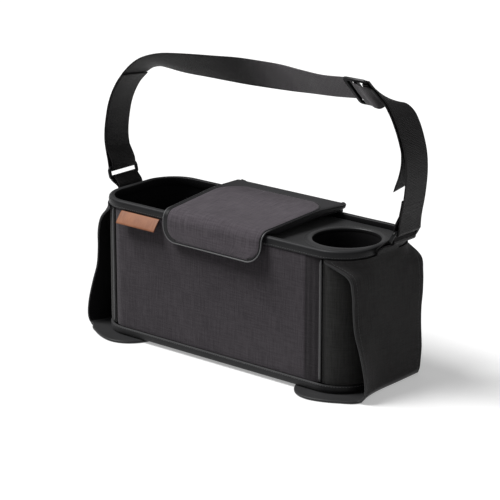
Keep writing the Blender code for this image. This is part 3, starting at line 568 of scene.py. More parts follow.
def stitch_tree():
    """Geometry nodes that lay one short thread at each step along a line."""
    tree = bpy.data.node_groups.new("stitches", "GeometryNodeTree")
    face = tree.interface
    face.new_socket("Line", in_out="INPUT", socket_type="NodeSocketGeometry")
    for name, start in (("Step", 0.003), ("Length", 0.002), ("Thickness", 0.0004)):
        face.new_socket(name, in_out="INPUT", socket_type="NodeSocketFloat").default_value = start
    face.new_socket("Thread", in_out="INPUT", socket_type="NodeSocketMaterial")
    face.new_socket("Stitches", in_out="OUTPUT", socket_type="NodeSocketGeometry")
    new = tree.nodes.new
    given, result = new("NodeGroupInput"), new("NodeGroupOutput")
    line = new("GeometryNodeMeshToCurve")
    even = new("GeometryNodeResampleCurve")
    even.mode = "LENGTH"
    ball = new("GeometryNodeMeshUVSphere")
    for key, value in (("Segments", 8), ("Rings", 5), ("Radius", 0.5)):
        ball.inputs[key].default_value = value
    run = new("GeometryNodeInputTangent")
    along = new("FunctionNodeAlignRotationToVector")
    along.axis = "X"
    shape = new("ShaderNodeCombineXYZ")
    laid = new("GeometryNodeInstanceOnPoints")
    real = new("GeometryNodeRealizeInstances")
    paint = new("GeometryNodeSetMaterial")
    smooth = new("GeometryNodeSetShadeSmooth")
    for source, output, target, socket in (
        (given, "Line", line, "Mesh"), (line, 0, even, "Curve"), (given, "Step", even, "Length"),
        (even, 0, laid, "Points"), (ball, "Mesh", laid, "Instance"),
        (run, 0, along, "Vector"), (along, 0, laid, "Rotation"), (given, "Length", shape, "X"),
        (given, "Thickness", shape, "Y"), (given, "Thickness", shape, "Z"), (shape, 0, laid, "Scale"),
        (laid, 0, real, 0), (real, 0, smooth, 0), (smooth, 0, paint, "Geometry"),
        (given, "Thread", paint, "Material"), (paint, 0, result, 0),
    ):
        tree.links.new(source.outputs[output], target.inputs[socket])
    return tree


stitches = stitch_tree()
thread = Finish("thread", 0.5, Sheen_Weight=0.2)
thread_twist = thread.noise(thread.place(), 2400, 1)
thread.show(Base_Color=thread.blend(thread_twist, (0.03, 0.03, 0.032), (0.085, 0.084, 0.088)))


def stitch(name, lines, slot="smooth_trim", body="organizer", step=0.0032, length=0.0023, thickness=0.00055):
    """Rows of stitches along one or more lines of points, as one mesh."""
    mesh = bpy.data.meshes.new(name)
    points, edges = [], []
    for line in lines:
        start = len(points)
        points += [tuple(p) for p in line]
        edges += [(start + i, start + i + 1) for i in range(len(line) - 1)]
    mesh.from_pydata(points, edges, [])
    source = put(name + "_line", mesh)
    nodes = source.modifiers.new("stitches", "NODES")
    nodes.node_group = stitches
    values = {"Step": step, "Length": length, "Thickness": thickness, "Thread": thread.material}
    for item in stitches.interface.items_tree:
        if item.item_type == "SOCKET" and item.in_out == "INPUT" and item.name in values:
            nodes[item.identifier] = values[item.name]
    graph = bpy.context.evaluated_depsgraph_get()
    made = bpy.data.meshes.new_from_object(source.evaluated_get(graph))
    bpy.data.objects.remove(source)
    made.name = name
    piece = put(name, made)
    dress(piece, slot, body=body)
    return piece


closed_loop = np.append(loop, ROUND)
stitch("rim_stitches", [level(wall(closed_loop, 0.00125), 0.1543)])
stitch("base_stitches", [level(wall(closed_loop, 0.00085), BASE_SEWN)])

# ---------------------------------------------------------------------------
# Cup well: a flat deck of foam under smooth cloth, with a low soft collar round
# the hole, and a lined sleeve below it.
collar_low, collar_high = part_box("cup_sleeve")
cup_x = (collar_low.x + collar_high.x) / 2
cup_y = (collar_low.y + collar_high.y) / 2
deck_low, deck_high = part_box("cup_deck")
CUP_R = 0.0365
CUP_PARTS = 180
COLLAR = 0.0078
deck_edge = wall(np.linspace(0, ROUND, 1600), -0.0067)
deck_edge = deck_edge[deck_edge[:, 0] > deck_low.x]
turns = np.linspace(-math.pi, math.pi, CUP_PARTS, endpoint=False)
reach = []
for angle in turns:
    ray = np.array([math.cos(angle), math.sin(angle)])
    best = 1.0
    if ray[0] < 0:
        best = (deck_low.x - cup_x) / ray[0]
    away_from = deck_edge - (cup_x, cup_y)
    along_ray = away_from @ ray
    off = np.abs(away_from @ np.array([-ray[1], ray[0]]))
    near = along_ray[(off < 0.0012) & (along_ray > 0)]
    if len(near):
        best = min(best, near.mean())
    reach.append(best)
reach = np.array(reach)
around_cup = np.stack([np.cos(turns), np.sin(turns)], 1)


def cup_ring(radius, z):
    """Points round the cup hole at one height."""
    plan = around_cup * np.reshape(radius, (-1, 1)) + (cup_x, cup_y)
    return np.column_stack([plan, np.broadcast_to(z, CUP_PARTS)])


COLLAR_TOP = 0.0012
top_z = deck_high.z - COLLAR_TOP
deck_rim = ((0.0006, 0.0029), (0.0, 0.0022), (0.0, 0.0008), (0.0008, 0.0001))
deck_rows = [cup_ring(reach - inside, top_z - down) for inside, down in deck_rim]
for share in (0.97, 0.9, 0.75, 0.5, 0.25, 0.1, 0.03, 0.0):
    radius = CUP_R + COLLAR + (reach - CUP_R - COLLAR - 0.0012) * share
    spots = cup_ring(radius, top_z)
    spots[:, 2] += ripple(spots, 0.06, 0.0003, 31) - 0.0007 * math.sin(math.pi * share)
    deck_rows.append(spots)
collar_section = (
    (0.0070, 0.0003), (0.0060, 0.0008), (0.0048, 0.0012), (0.0036, 0.0014), (0.0025, 0.0013),
    (0.0015, 0.0008), (0.0008, 0.0001), (0.0003, -0.0007), (0.0000, -0.0016), (0.0002, -0.0029),
)
deck_rows += [cup_ring(CUP_R + out, top_z + up) for out, up in collar_section]
# The fold puts a painted highlight on the collar round the hole.
deck_cloth = smooth_trim("cup_deck_cloth", *BINDING, 0.44, fold=top_z + COLLAR_TOP)
deck = skin("cup_deck_cloth", deck_rows, deck_cloth, 50, True)
repaint(deck, lining, lambda face: face.index // CUP_PARTS >= len(deck_rows) - 4)
dress(deck, "smooth_trim", "cup_deck")
sewn_ring = cup_ring(CUP_R + 0.0092, top_z + 0.0001)
stitch("deck_stitches", [np.vstack([sewn_ring, sewn_ring[:1]])])

sleeve_section = (
    (-0.0020, 0.0300), (0.0012, 0.0303), (0.0019, 0.0320), (0.0019, 0.1512),
    (0.0060, 0.1516), (0.0066, 0.1524), (0.0002, 0.1527),
)
sleeve_rows = [cup_ring(CUP_R + out, z) for out, z in sleeve_section]
for z in np.linspace(0.150, 0.036, 22):
    spots = cup_ring(CUP_R, z)
    sleeve_rows.append(cup_ring(CUP_R - 0.0004 + ripple(spots, 0.04, 0.0005, 32), z))
sleeve_rows += [cup_ring(CUP_R - 0.0016, 0.0330), cup_ring(CUP_R - 0.004, 0.0320)]
sleeve = skin("cup_sleeve_cloth", sleeve_rows, lining)
dress(sleeve, "lining", "cup_sleeve")

# ---------------------------------------------------------------------------
# Wings: one doubled sheet at each end. It hangs from the rim, flares away from
# the end wall, and folds in under the base as a rounded foot. A bound edge runs
# down its front, round the foot and up its back.
WING_HALF = 0.057
WING_START = 0.157
WING_POINTS = 61
FOOT_Z = 0.0016
# Height, then how far the sheet's front, middle and back stand off the end wall.
WING_DROP = (
    (0.134, -0.0030, 0.0035, 0.0040), (0.119, 0.0016, 0.0050, 0.0068), (0.097, 0.0028, 0.0060, 0.0072),
    (0.077, 0.0053, 0.0065, 0.0056), (0.057, 0.0120, 0.0072, 0.0058), (0.032, 0.0185, 0.0082, 0.0074),
    (0.014, 0.0204, 0.0080, 0.0068), (0.008, 0.0190, 0.0074, 0.0062), (0.0046, 0.0165, 0.0062, 0.0050),
    (0.0022, 0.0125, 0.0040, 0.0030),
)
# How far past the end wall, and half the foot's width there.
FOOT_PLAN = (
    (-0.005, 0.070), (-0.014, 0.075), (-0.027, 0.080), (-0.038, 0.082), (-0.050, 0.080),
    (-0.060, 0.074), (-0.068, 0.064), (-0.074, 0.050), (-0.078, 0.034), (-0.083, 0.018),
)


def wing_row(end, side, front, middle, back, half, z):
    """Points across the wing at one height; its front, middle and back stand off by their own amounts."""
    across = np.linspace(-1, 1, WING_POINTS)
    edge = np.where(across < 0, front, back)
    off = middle - (middle - edge) * np.abs(across) ** 2.2
    return level(np.stack([end + side * off, half * across], 1), z)


def curve(p0, p1, p2, p3, gaps, parts):
    """Points from p1 towards p2 on a curve through four points whose knots are gaps apart."""
    a, b, c = gaps
    m1 = ((p1 - p0) / a * b + (p2 - p1) / b * a) / (a + b) * b
    m2 = ((p2 - p1) / b * c + (p3 - p2) / c * b) / (b + c) * b
    return [p1 * (2 * t**3 - 3 * t**2 + 1) + m1 * (t**3 - 2 * t**2 + t)
            + p2 * (3 * t**2 - 2 * t**3) + m2 * (t**3 - t**2) for t in np.arange(parts) / parts]


def smooth_rows(rows, parts):
    """Rows of points with a curve through each column."""
    rows = np.asarray(rows)
    padded = np.concatenate([2 * rows[:1] - rows[1:2], rows, 2 * rows[-1:] - rows[-2:-1]])
    gap = np.sqrt(np.linalg.norm(np.diff(padded, axis=0), axis=2).mean(1) + 1e-9)
    made = []
    for i in range(1, len(padded) - 2):
        made += curve(*padded[i - 1:i + 3], gap[i - 1:i + 2], parts)
    return np.array(made + [rows[-1]])


def wing(word, side):
    """The doubled sheet at one end, with its bound edge and a row of stitches inside it."""
    end = RIGHT if side > 0 else LEFT
    start = middle_x + side * WING_START
    probe = np.linspace(0, ROUND / 2, 4000) + (LONG / 2 if side > 0 else LONG / 2 - ROUND / 2)
    plan = wall(probe, 0.0015)
    covered = probe[(plan[:, 0] - start) * side > 0]
    top = wall(np.linspace(covered[0], covered[-1], WING_POINTS), 0.0015)
    if top[0, 1] > top[-1, 1]:
        top = top[::-1]
    z, *offsets = WING_DROP[0]
    free = wing_row(end, side, *offsets, WING_HALF, z)[:, :2]
    leaving = ((0.1519, 0.0), (0.149, 0.02), (0.142, 0.55))
    rows = [level(top + (free - top) * share, height) for height, share in leaving]
    rows += [wing_row(end, side, *offsets, WING_HALF, z) for z, *offsets in WING_DROP]
    rows.append(wing_row(end, side, 0.006, -0.0005, -0.0015, HALF, FOOT_Z))
    rows += [wing_row(end, side, x, x, x, half, FOOT_Z) for x, half in FOOT_PLAN]
    grid = smooth_rows(rows, 5)
    down = np.gradient(grid, axis=0)
    over = np.gradient(grid, axis=1)
    normal = np.cross(over, down) * -side
    normal /= np.linalg.norm(normal, axis=2)[..., None]
    height = grid[..., 2]
    hang = np.clip((height - 0.012) / 0.02, 0, 1) * np.clip((0.152 - height) / 0.02, 0, 1)
    grid = grid + normal * (ripple(grid * (1, 1, 0.45), 0.07, 0.0016, 41 + side) * hang)[..., None]
    thick = (0.0009 + 0.0006 * np.clip((0.006 - grid[..., 2]) / 0.004, 0, 1))[..., None]
    outer, inner = grid + normal * thick, grid - normal * thick
    outer[..., 2] = np.maximum(outer[..., 2], 0.0001)
    inner[..., 2] = np.maximum(inner[..., 2], 0.0004)
    sheet_rows = [np.concatenate([a, b[::-1]]) for a, b in zip(outer, inner)]
    sheet = skin(f"wing_cloth_{word}", sheet_rows, wing_cloth)
    repaint(sheet, lining, lambda face: face.normal.x * side < 0)
    repaint(sheet, trim_cloth, lambda face: face.center.z < 0.006)
    dress(sheet, "woven", f"wing_{word}")
    edge_line = np.concatenate([grid[2:, 0], grid[-1, 1:-1], grid[2:, -1][::-1]])
    edge_line[:, 2] = np.maximum(edge_line[:, 2], FOOT_Z)
    tall = edge_line[:, 2]
    out_of = np.concatenate([normal[2:, 0], normal[-1, 1:-1], normal[2:, -1][::-1]])
    radius = np.where(tall < 0.004, 0.00165, 0.00105 + 0.0004 * np.clip((tall - 0.10) / 0.03, 0, 1))
    radius[:6] *= np.linspace(0.5, 1, 6)
    radius[-6:] *= np.linspace(1, 0.5, 6)
    hem = bead(f"wing_edge_{word}", edge_line, radius, trim_cloth, upright=out_of)
    dress(hem, "smooth_trim")
    inset = 3
    proud = grid + normal * (thick + 0.0001)
    lines = [proud[4:-4, column] for column in (inset, -1 - inset)]
    sewn = stitch(f"wing_stitches_{word}", [line[line[:, 2] > 0.004] for line in lines], "woven")
    cells = np.cross(grid[1:, 1:] - grid[:-1, :-1], grid[1:, :-1] - grid[:-1, 1:])


# The wings' cloth is a darker copy of the melange: painted shade for sheets turned away from the key lamp.
wing_cloth = woven("wing_cloth", (0.016, 0.0152, 0.0152), (0.048, 0.0455, 0.046))
wing("left", -1)
wing("right", 1)

# ---------------------------------------------------------------------------
# Lid: a board wrapped in lining, a melange cover over its top, and a smooth
# border turned over its edge, with a thin piping that is pale on the tab, partly a
# painted highlight. A band sewn behind the back wall holds it.
LID_X = middle_x + 0.005
LID_HALF = 0.0785
LID_TAB_HALF = 0.0707
LID_CORNER = 0.018
LID_BACK = 0.0715
LID_FRONT = -0.0713
LID_ROUND = 0.009
# The lid's middle from back to front: y, z and the radius of the bend there.
LID_LINE = (
    (LID_BACK, 0.1586, 0), (LID_BACK, 0.1711, 0.008), (0.018, 0.1729, 0.15),
    (LID_FRONT, 0.1661, 0.012), (LID_FRONT, 0.1308, 0),
)


def filleted(corners, parts):
    """A polyline whose inner corners are arcs, evenly divided."""
    path = [np.array(corners[0][:2])]
    for before, here, after in zip(corners, corners[1:], corners[2:]):
        p = np.array(here[:2])
        a, b = np.array(before[:2]) - p, np.array(after[:2]) - p
        a, b = a / np.linalg.norm(a), b / np.linalg.norm(b)
        half = math.acos(float(a @ b)) / 2
        centre = p + (a + b) / np.linalg.norm(a + b) * here[2] / math.sin(half)
        first, last = (p + side * here[2] / math.tan(half) - centre for side in (a, b))
        for t in np.linspace(0, 1, parts):
            mix = first * (1 - t) + last * t
            path.append(centre + mix / np.linalg.norm(mix) * here[2])
    path.append(np.array(corners[-1][:2]))
    return np.array(path)


lid_path = filleted(LID_LINE, 14)
lid_steps = np.concatenate([[0], np.cumsum(np.linalg.norm(np.diff(lid_path, axis=0), axis=1))])
LID_LENGTH = lid_steps[-1]


def lid_at(s):
    """The lid's y and z at a distance s along its line."""
    return [np.interp(s, lid_steps, lid_path[:, column]) for column in (0, 1)]


def on_lid(x, s, depth):
    """Points of the lid from x across it, s along its line from the back, and a depth below it.

    Its tab is free of the wall below the rim, and lifts towards its right corner.
    """
    x, s, depth = np.broadcast_arrays(*(np.asarray(value, float) for value in (x, s, depth)))
    y, z = lid_at(s)
    run_y, run_z = (ahead - behind for ahead, behind in zip(lid_at(s + 0.0008), lid_at(s - 0.0008)))
    size = np.hypot(run_y, run_z)
    free = np.clip((0.156 - z) / 0.025, 0, 1) ** 1.5 * (y < 0)
    right = np.clip((x + LID_TAB_HALF) / (2 * LID_TAB_HALF), 0, 1)
    lifted = free * (0.0005 + 0.0055 * right ** 1.3)
    rise = free * (0.0016 * right)
    return np.stack([LID_X + x, y - run_z / size * depth - lifted, z + run_y / size * depth + rise], -1)


def lid_width(s, inset, start=0.0, rear=0.0):
    """Half the lid's width at s for a layer moved in by an inset, with a round rear corner."""
    y = lid_at(s)[0]
    half = LID_HALF + (LID_TAB_HALF - LID_HALF) * (LID_BACK - y) / (LID_BACK - LID_FRONT)
    corner = np.clip(LID_ROUND - (LID_BACK - y), 0, LID_ROUND)
    half = half - LID_ROUND + np.sqrt(LID_ROUND**2 - corner**2)
    radius = LID_CORNER - inset
    past = np.clip(s - (LID_LENGTH - inset - radius), 0, radius)
    early = np.clip(start + rear - s, 0, rear)
    front_bend = np.sqrt(np.maximum(radius**2 - past**2, 0))
    rear_bend = np.sqrt(np.maximum(rear**2 - early**2, 0))
    return half - inset - radius + front_bend + rear_bend - rear


def lid_layer(name, finish, inset, shallow, deep, start=None, rear=0.0, swell=0.0, shift=0.0, low=None):
    """A sheet of the lid between two depths, crowned by its swell and tucked at its edge."""
    start = inset if start is None else start
    end = LID_LENGTH - (inset if low is None else low)
    radius = LID_CORNER - inset
    bends = 1 - np.sin(np.linspace(0, math.pi / 2, 14))
    stops = np.concatenate([np.linspace(start, end, 110), end - radius * bends, start + rear * bends,
                            np.linspace(0.006, 0.024, 25), [start + 0.0003, end - 0.0003]])
    stops = np.unique(np.round(stops[(stops >= start) & (stops <= end)], 6))
    rows = []
    for s in stops:
        width = float(lid_width(s, inset, start, rear))
        x = np.linspace(-1, 1, 81)
        x = (x * 1.5 - 0.5 * x**3) * width
        edge = np.minimum(width - np.abs(x), min(s - start, end - s))
        lift = swell * (1 - np.exp(-edge / 0.005)) - 0.0003 * np.exp(-edge / 0.0006)
        lift = lift + ripple(on_lid(x, s, 0), 0.07, 0.0006, 51) * (swell > 0) * np.clip(edge / 0.02, 0, 1)
        rows.append(np.concatenate([on_lid(x + shift, s, shallow - lift), on_lid(x + shift, s, deep)[::-1]]))
    return skin(name, rows, finish, 50)


def lid_outline(inset, depth, start=0.0, rear=0.0, shift=0.0):
    """An even loop of points round a layer of the lid.

    With each point come the direction out of the lid and the distance along its line.
    """
    radius = LID_CORNER - inset
    end = LID_LENGTH - inset
    bend = np.sin(np.linspace(0, math.pi / 2, 16))
    straight = np.linspace(start + rear, end - radius, 200)
    s = np.concatenate([start + rear * (1 - bend[::-1]), straight, end - radius * (1 - bend)])
    x = lid_width(s, inset, start, rear)
    front = np.linspace(-x[-1], x[-1], 60)
    back = np.linspace(x[0], -x[0], 60)
    loop_x = np.concatenate([-x, front, x[::-1], back])
    loop_s = np.concatenate([s, np.full(len(front), end), s[::-1], np.full(len(back), start)])
    spots = on_lid(loop_x, loop_s, 0)
    run = np.concatenate([[0], np.cumsum(np.linalg.norm(np.diff(spots, axis=0), axis=1))])
    even = np.linspace(0, run[-1], int(run[-1] / 0.0022), endpoint=False)
    loop_x, loop_s = np.interp(even, run, loop_x) + shift, np.interp(even, run, loop_s)
    if callable(depth):
        depth = depth(loop_s)
    out_of = on_lid(loop_x, loop_s, -1.0) - on_lid(loop_x, loop_s, 0.0)
    return on_lid(loop_x, loop_s, depth), out_of, loop_s


def along_lid(finish, grain, low, high, front, behind):
    """Colours for the lid's edge: a pair for its front, which changes to another pair behind."""
    y = finish.axis(finish.place(), "Y")
    front, behind = finish.blend(grain, *front), finish.blend(grain, *behind)
    finish.show(Base_Color=finish.blend(y.between(low, high), front, behind))


# The cover's cloth is a lighter copy of the melange: painted light for the top facing the key lamp.
lid_cloth = woven("lid_melange_cloth", (0.052, 0.043, 0.052), (0.128, 0.112, 0.127))
lid_trim = smooth_trim("lid_hem_cloth", (0.012, 0.012, 0.013), (0.023, 0.0225, 0.024), shine=0.2)
border_finish = Finish("lid_border_cloth", 0.5, Specular_IOR_Level=0.25)
border_place = border_finish.place()
border_grain = border_finish.noise(border_place, 1500, 2) * 0.5
border_grain = border_grain + border_finish.noise(border_place, 18, 3) * 0.6
# Painted shade: the border is darker towards the front, for the shade in the groove between the raised cover
# and the piping.
border_tones = (
    ((0.007, 0.007, 0.008), (0.015, 0.0148, 0.016)),
    ((0.024, 0.024, 0.026), (0.046, 0.045, 0.048)),
)
along_lid(border_finish, border_grain, 0.000, 0.045, *border_tones)
border_finish.bump(border_grain, 0.00012)
COVER_START = float(np.interp(-(LID_BACK - 0.0263), -lid_path[:, 0], lid_steps))
core = lid_layer("lid_lining", lining, 0.0020, 0.0018, 0.0040)
dress(core, "lining", "lid_core", body="lid")
border = lid_layer("lid_border_cloth", border_finish, 0.0012, 0.0001, 0.0016)
dress(border, "smooth_trim", "lid_border", body="lid")
COVER_SHIFT = 0.0024
cover = lid_layer("lid_cover", lid_cloth, 0.0024 + COVER_SHIFT, -0.0004, 0.0, start=COVER_START, rear=0.034,
                  swell=0.0014, shift=COVER_SHIFT, low=0.0026)
dress(cover, "woven", "lid_inset", body="lid")


def hem_half(s):
    """Half the depth of the lid's rolled hem: deep along its sides, shallow over the rim and on the tab."""
    y = lid_at(s)[0]
    flank = np.clip((y + 0.062) / 0.020, 0, 1) * np.clip((0.069 - y) / 0.014, 0, 1)
    return 0.0019 + 0.0026 * flank * flank * (3 - 2 * flank)


HEM_R = 0.0017
hem_path, outward, hem_s = lid_outline(HEM_R, hem_half)
hem_back = np.clip((lid_at(hem_s)[0] - 0.010) / 0.045, 0, 1)
hem_round = HEM_R + 0.0016 * hem_back
hem_path[:, 0] -= np.sign(hem_path[:, 0] - LID_X) * (hem_round - HEM_R)
hem_deep = np.maximum(hem_half(hem_s), hem_round)
hem_path[:, 2] -= (hem_deep - hem_half(hem_s)) * (hem_s > 0.014)
lid_hem = bead("lid_hem", hem_path, hem_round, lid_trim, outward, True, hem_deep / hem_round)
dress(lid_hem, "smooth_trim", body="lid")
edge, outward, _ = lid_outline(0.0004, 0.0008)
lid_pipe = Finish("lid_piping_cloth", 0.4, Specular_IOR_Level=0.4)
# The piping is pale on the tab, partly a paler cord and partly a painted highlight, and darker behind.
pipe_tones = ((0.13, 0.13, 0.134), (0.20, 0.20, 0.205)), ((0.028, 0.028, 0.030), (0.042, 0.041, 0.044))
along_lid(lid_pipe, lid_pipe.noise(lid_pipe.place(), 1500, 2), -0.069, -0.050, *pipe_tones)
lid_piping = bead("lid_piping", edge, 0.00075, lid_pipe, upright=outward, closed=True)
dress(lid_piping, "smooth_trim", body="lid")
seam, outward, _ = lid_outline(0.0018 + COVER_SHIFT, 0.0, COVER_START - 0.0007, 0.0347, COVER_SHIFT)
cover_seam = bead("cover_seam", seam, 0.0006, lid_trim, upright=outward, closed=True)
dress(cover_seam, "smooth_trim", body="lid")
sewn_line, _, sewn_s = lid_outline(0.0014 + COVER_SHIFT, -0.0001, COVER_START - 0.0022, 0.0362, COVER_SHIFT)
behind = np.flatnonzero(sewn_s < COVER_START + 0.05)
behind = np.roll(behind, -1 - int(np.argmax(np.diff(behind))))
stitch("lid_stitches", [sewn_line[behind]], body="lid")

band_low, band_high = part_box("lid_hinge_band")
band_x = np.linspace(band_low.x, band_high.x, 50)
band_rows = []
for z in np.linspace(band_low.z, band_high.z, 16):
    front = level(np.stack([band_x, np.full_like(band_x, band_low.y)], 1), z)
    back = front.copy()
    back[:, 1] = band_high.y + ripple(front, 0.05, 0.0002, 61)
    band_rows.append(np.concatenate([front, back[::-1]]))
hinge_band = skin("hinge_band", band_rows, lid_trim, 50)
dress(hinge_band, "smooth_trim", "lid_hinge_band")
sewn_x = np.linspace(band_low.x + 0.003, band_high.x - 0.003, 60)
band_plan = np.stack([sewn_x, np.full_like(sewn_x, band_high.y + 0.0002)], 1)
stitch("hinge_stitches", [level(band_plan, band_low.z + up) for up in (0.003, 0.006)])

steel = Finish("bare_steel", 0.3, Metallic=1.0)
steel.show(Base_Color=(0.55, 0.55, 0.56), Roughness=steel.noise(steel.place(), 900) * 0.25 + 0.2)
for node in ("lid_magnet_left", "lid_magnet_right", "front_magnet_left", "front_magnet_right"):
    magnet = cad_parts[node].data.materials
    magnet.clear()
    magnet.append(steel.material)

# ---------------------------------------------------------------------------
# Label: a bare strip of tan leather, folded round a stiffener and sewn under
# the rim. Its edges and back are darker, partly the leather's darker cut edge and partly painted shade on the
# end turned from the light.
tag_low, tag_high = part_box("leather_tag")
leather = Finish("tan_leather", 0.55, Specular_IOR_Level=0.4)
hide = leather.place()
pores = leather.node("ShaderNodeTexVoronoi", {"feature": "F1"}, {"Vector": hide, "Scale": 1300.0})
cloud = leather.noise(hide, 60, 4)
streak = leather.noise(hide, 1.0, 3, (900, 120, 120))
tone = (cloud * 0.9 + streak * 0.5).between(0.35, 1.0)
leather.show(Base_Color=leather.blend(tone, (0.27, 0.098, 0.045), (0.41, 0.175, 0.090)))
leather.show(Roughness=cloud * 0.25 + 0.42)
leather.bump(pores * 0.5 + cloud * 0.8, 0.00025, 0.6)
# The edge finish is partly the cut edge's own colour and partly painted shade.
cut_edge = Finish("leather_edge", 0.6)
cut_grain = cut_edge.noise(cut_edge.place(), 200)
cut_edge.show(Base_Color=cut_edge.blend(cut_grain, (0.13, 0.032, 0.018), (0.22, 0.060, 0.032)))
TAG_TALL, TAG_HALF, TAG_CROWN = 0.016, 0.00105, 0.00035
lean = math.radians(38)
tag_down = np.array([0, -math.sin(lean), -math.cos(lean)])
tag_out = np.array([0, -math.cos(lean), math.sin(lean)])
tag_top = np.array([0, -(HALF + 0.00095), 0.15135])
tag_rows = []
for x in np.linspace(tag_low.x, tag_high.x, 50):
    from_end = min(x - tag_low.x, tag_high.x - x)
    trim = 0.00035 * math.exp(-from_end / 0.0004)
    section = []
    for face in (1, -1):
        for d in np.linspace(0, TAG_TALL, 24) if face > 0 else np.linspace(TAG_TALL, 0, 24):
            near = min(d, TAG_TALL - d)
            crown = TAG_CROWN * math.sin(math.pi * d / TAG_TALL)
            half = TAG_HALF - 0.0006 * math.exp(-near / 0.0004) - trim
            section.append(np.array([x, 0, 0]) + tag_top + tag_down * d + tag_out * (face * half + crown))
    tag_rows.append(section)
tag = skin("leather_label", tag_rows, leather, 40)
tag_face = Vector(tag_out.tolist())
repaint(tag, cut_edge, lambda face: len(face.vertices) > 4 or face.normal.dot(tag_face) < 0.25)
dress(tag, "leather", "leather_tag")

# ---------------------------------------------------------------------------
# Rings: bent black rod, rounded rectangles with the joint welded and smoothed.
MM = 0.001
AT_LEFT = LEFT / MM
AT_RIGHT = RIGHT / MM
RIM_TOP = 162.0
ROD_R, RING_W, RING_H, RING_BEND = 2.1, 43.6, 12.6, 4.0
RINGS = {"left": (AT_LEFT - 16.0, RIM_TOP + 12.5, -15.0), "right": (AT_RIGHT + 25.5, RIM_TOP + 14.5, 28.0)}
MIDDLE = middle_x / MM

metal = Finish("black_metal", 0.38, Specular_IOR_Level=0.18)
metal_spots = metal.noise(metal.place(), 1100, 3)
metal_wear = metal.noise(metal.place(), 90, 4)
metal.show(Base_Color=metal.blend(metal_wear, (0.003, 0.003, 0.0035), (0.010, 0.010, 0.011)))
metal.show(Roughness=metal_spots * 0.2 + 0.24)
metal.bump(metal_spots, 0.00006)

for word, (x, z, ring_lean) in RINGS.items():
    ring_turn = math.radians(ring_lean)
    up = np.array([math.sin(ring_turn), 0, math.cos(ring_turn)])
    path = []
    for quarter, (sy, sz) in enumerate(((1, 1), (-1, 1), (-1, -1), (1, -1))):
        for t in np.radians(np.linspace(90 * quarter, 90 * quarter + 90, 14)):
            y = sy * (RING_W / 2 - RING_BEND) + RING_BEND * math.cos(t)
            path.append(np.array([x, y, z]) + up * (sz * (RING_H / 2 - RING_BEND) + RING_BEND * math.sin(t)))
    out = (math.cos(ring_turn), 0, -math.sin(ring_turn))
    ring = bead(f"rod_ring_{word}", np.array(path) * MM, ROD_R * MM, metal, upright=out, closed=True)
    dress(ring, "black_metal", f"ring_{word}")

# ---------------------------------------------------------------------------
# Slider: a cast plate with two slots and three bars. It keeps the CAD's shape,
# welded and given rounded edges.
slider_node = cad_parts["strap_slider"]
cast = put("cast_slider", slider_node.data.copy())
cast.data.transform(slider_node.matrix_world)
work = bmesh.new()
work.from_mesh(cast.data)
bmesh.ops.remove_doubles(work, verts=work.verts, dist=0.00002)
bmesh.ops.dissolve_limit(work, angle_limit=math.radians(1), verts=work.verts, edges=work.edges)
corners = [edge for edge in work.edges if len(edge.link_faces) == 2]
sharp = [edge for edge in corners if edge.calc_face_angle() > math.radians(28)]
bmesh.ops.bevel(work, geom=sharp, offset=0.00035, segments=3, profile=0.6, affect="EDGES", clamp_overlap=True)
bmesh.ops.recalc_face_normals(work, faces=work.faces)
work.to_mesh(cast.data)
work.free()
cast.data.shade_smooth()
cast.data.set_sharp_from_angle(angle=math.radians(40))
cast.data.materials.clear()
cast.data.materials.append(metal.material)
dress(cast, "black_metal", "strap_slider")

# ---------------------------------------------------------------------------
# Webbing: black strap 38 mm wide. The main strap is hemmed round the left ring,
# arches over, threads through the slider and ends as a tail; the anchor strap
# is hemmed round the slider and the right ring; a short tab holds each ring.
WEB_W, WEB, TAB_WEB, GAP, PLAY = 38.0, 1.6, 1.5, 0.3, 0.15
SELVEDGE = 0.9
SLIDER_X, SLIDER_Z, SLIDER_ROLL = AT_RIGHT - 32.0, RIM_TOP + 157.8, 46.0
SLIDER_BAR, SLIDER_PITCH = 4.5, 13.5
CLEAR = 1.5 + GAP + WEB / 2
# The straps' routes: x and z in mm from their start and the rim, and the roll in degrees.
LEFT_RISE = ((-24.8, 38, 0), (-26.6, 50, 0), (-26.2, 63, 0), (-23.8, 78, 0), (-20.4, 92, 1),
             (-14.5, 106, 3), (-6, 119.5, 5), (4.5, 131, 9))
ARCH = ((-160.5, 139.5, 14), (-147, 145.8, 23), (-132, 148.9, 33), (-117, 150.5, 41), (-100, 151.5, 46),
        (-71, 153.1, 51), (-41, 154.4, 56), (-11, 155.8, 61), (19, 156.7, 61), (50, 157.4, 59),
        (80, 157.4, 52), (110, 157.6, 47))
RIGHT_FALL = ((-9, 158.2, 37), (0, 156, 25), (11, 152.2, 14), (21, 143.5, 5), (27.8, 132, 1), (33.5, 118, 0),
              (38, 101, 0), (39.3, 83, 0), (38.2, 66, 0), (36, 50, 0), (33.6, 38, 0))
TAIL_END = ((32.9, 94, 0), (30.2, 81, 0), (25, 67, 0))


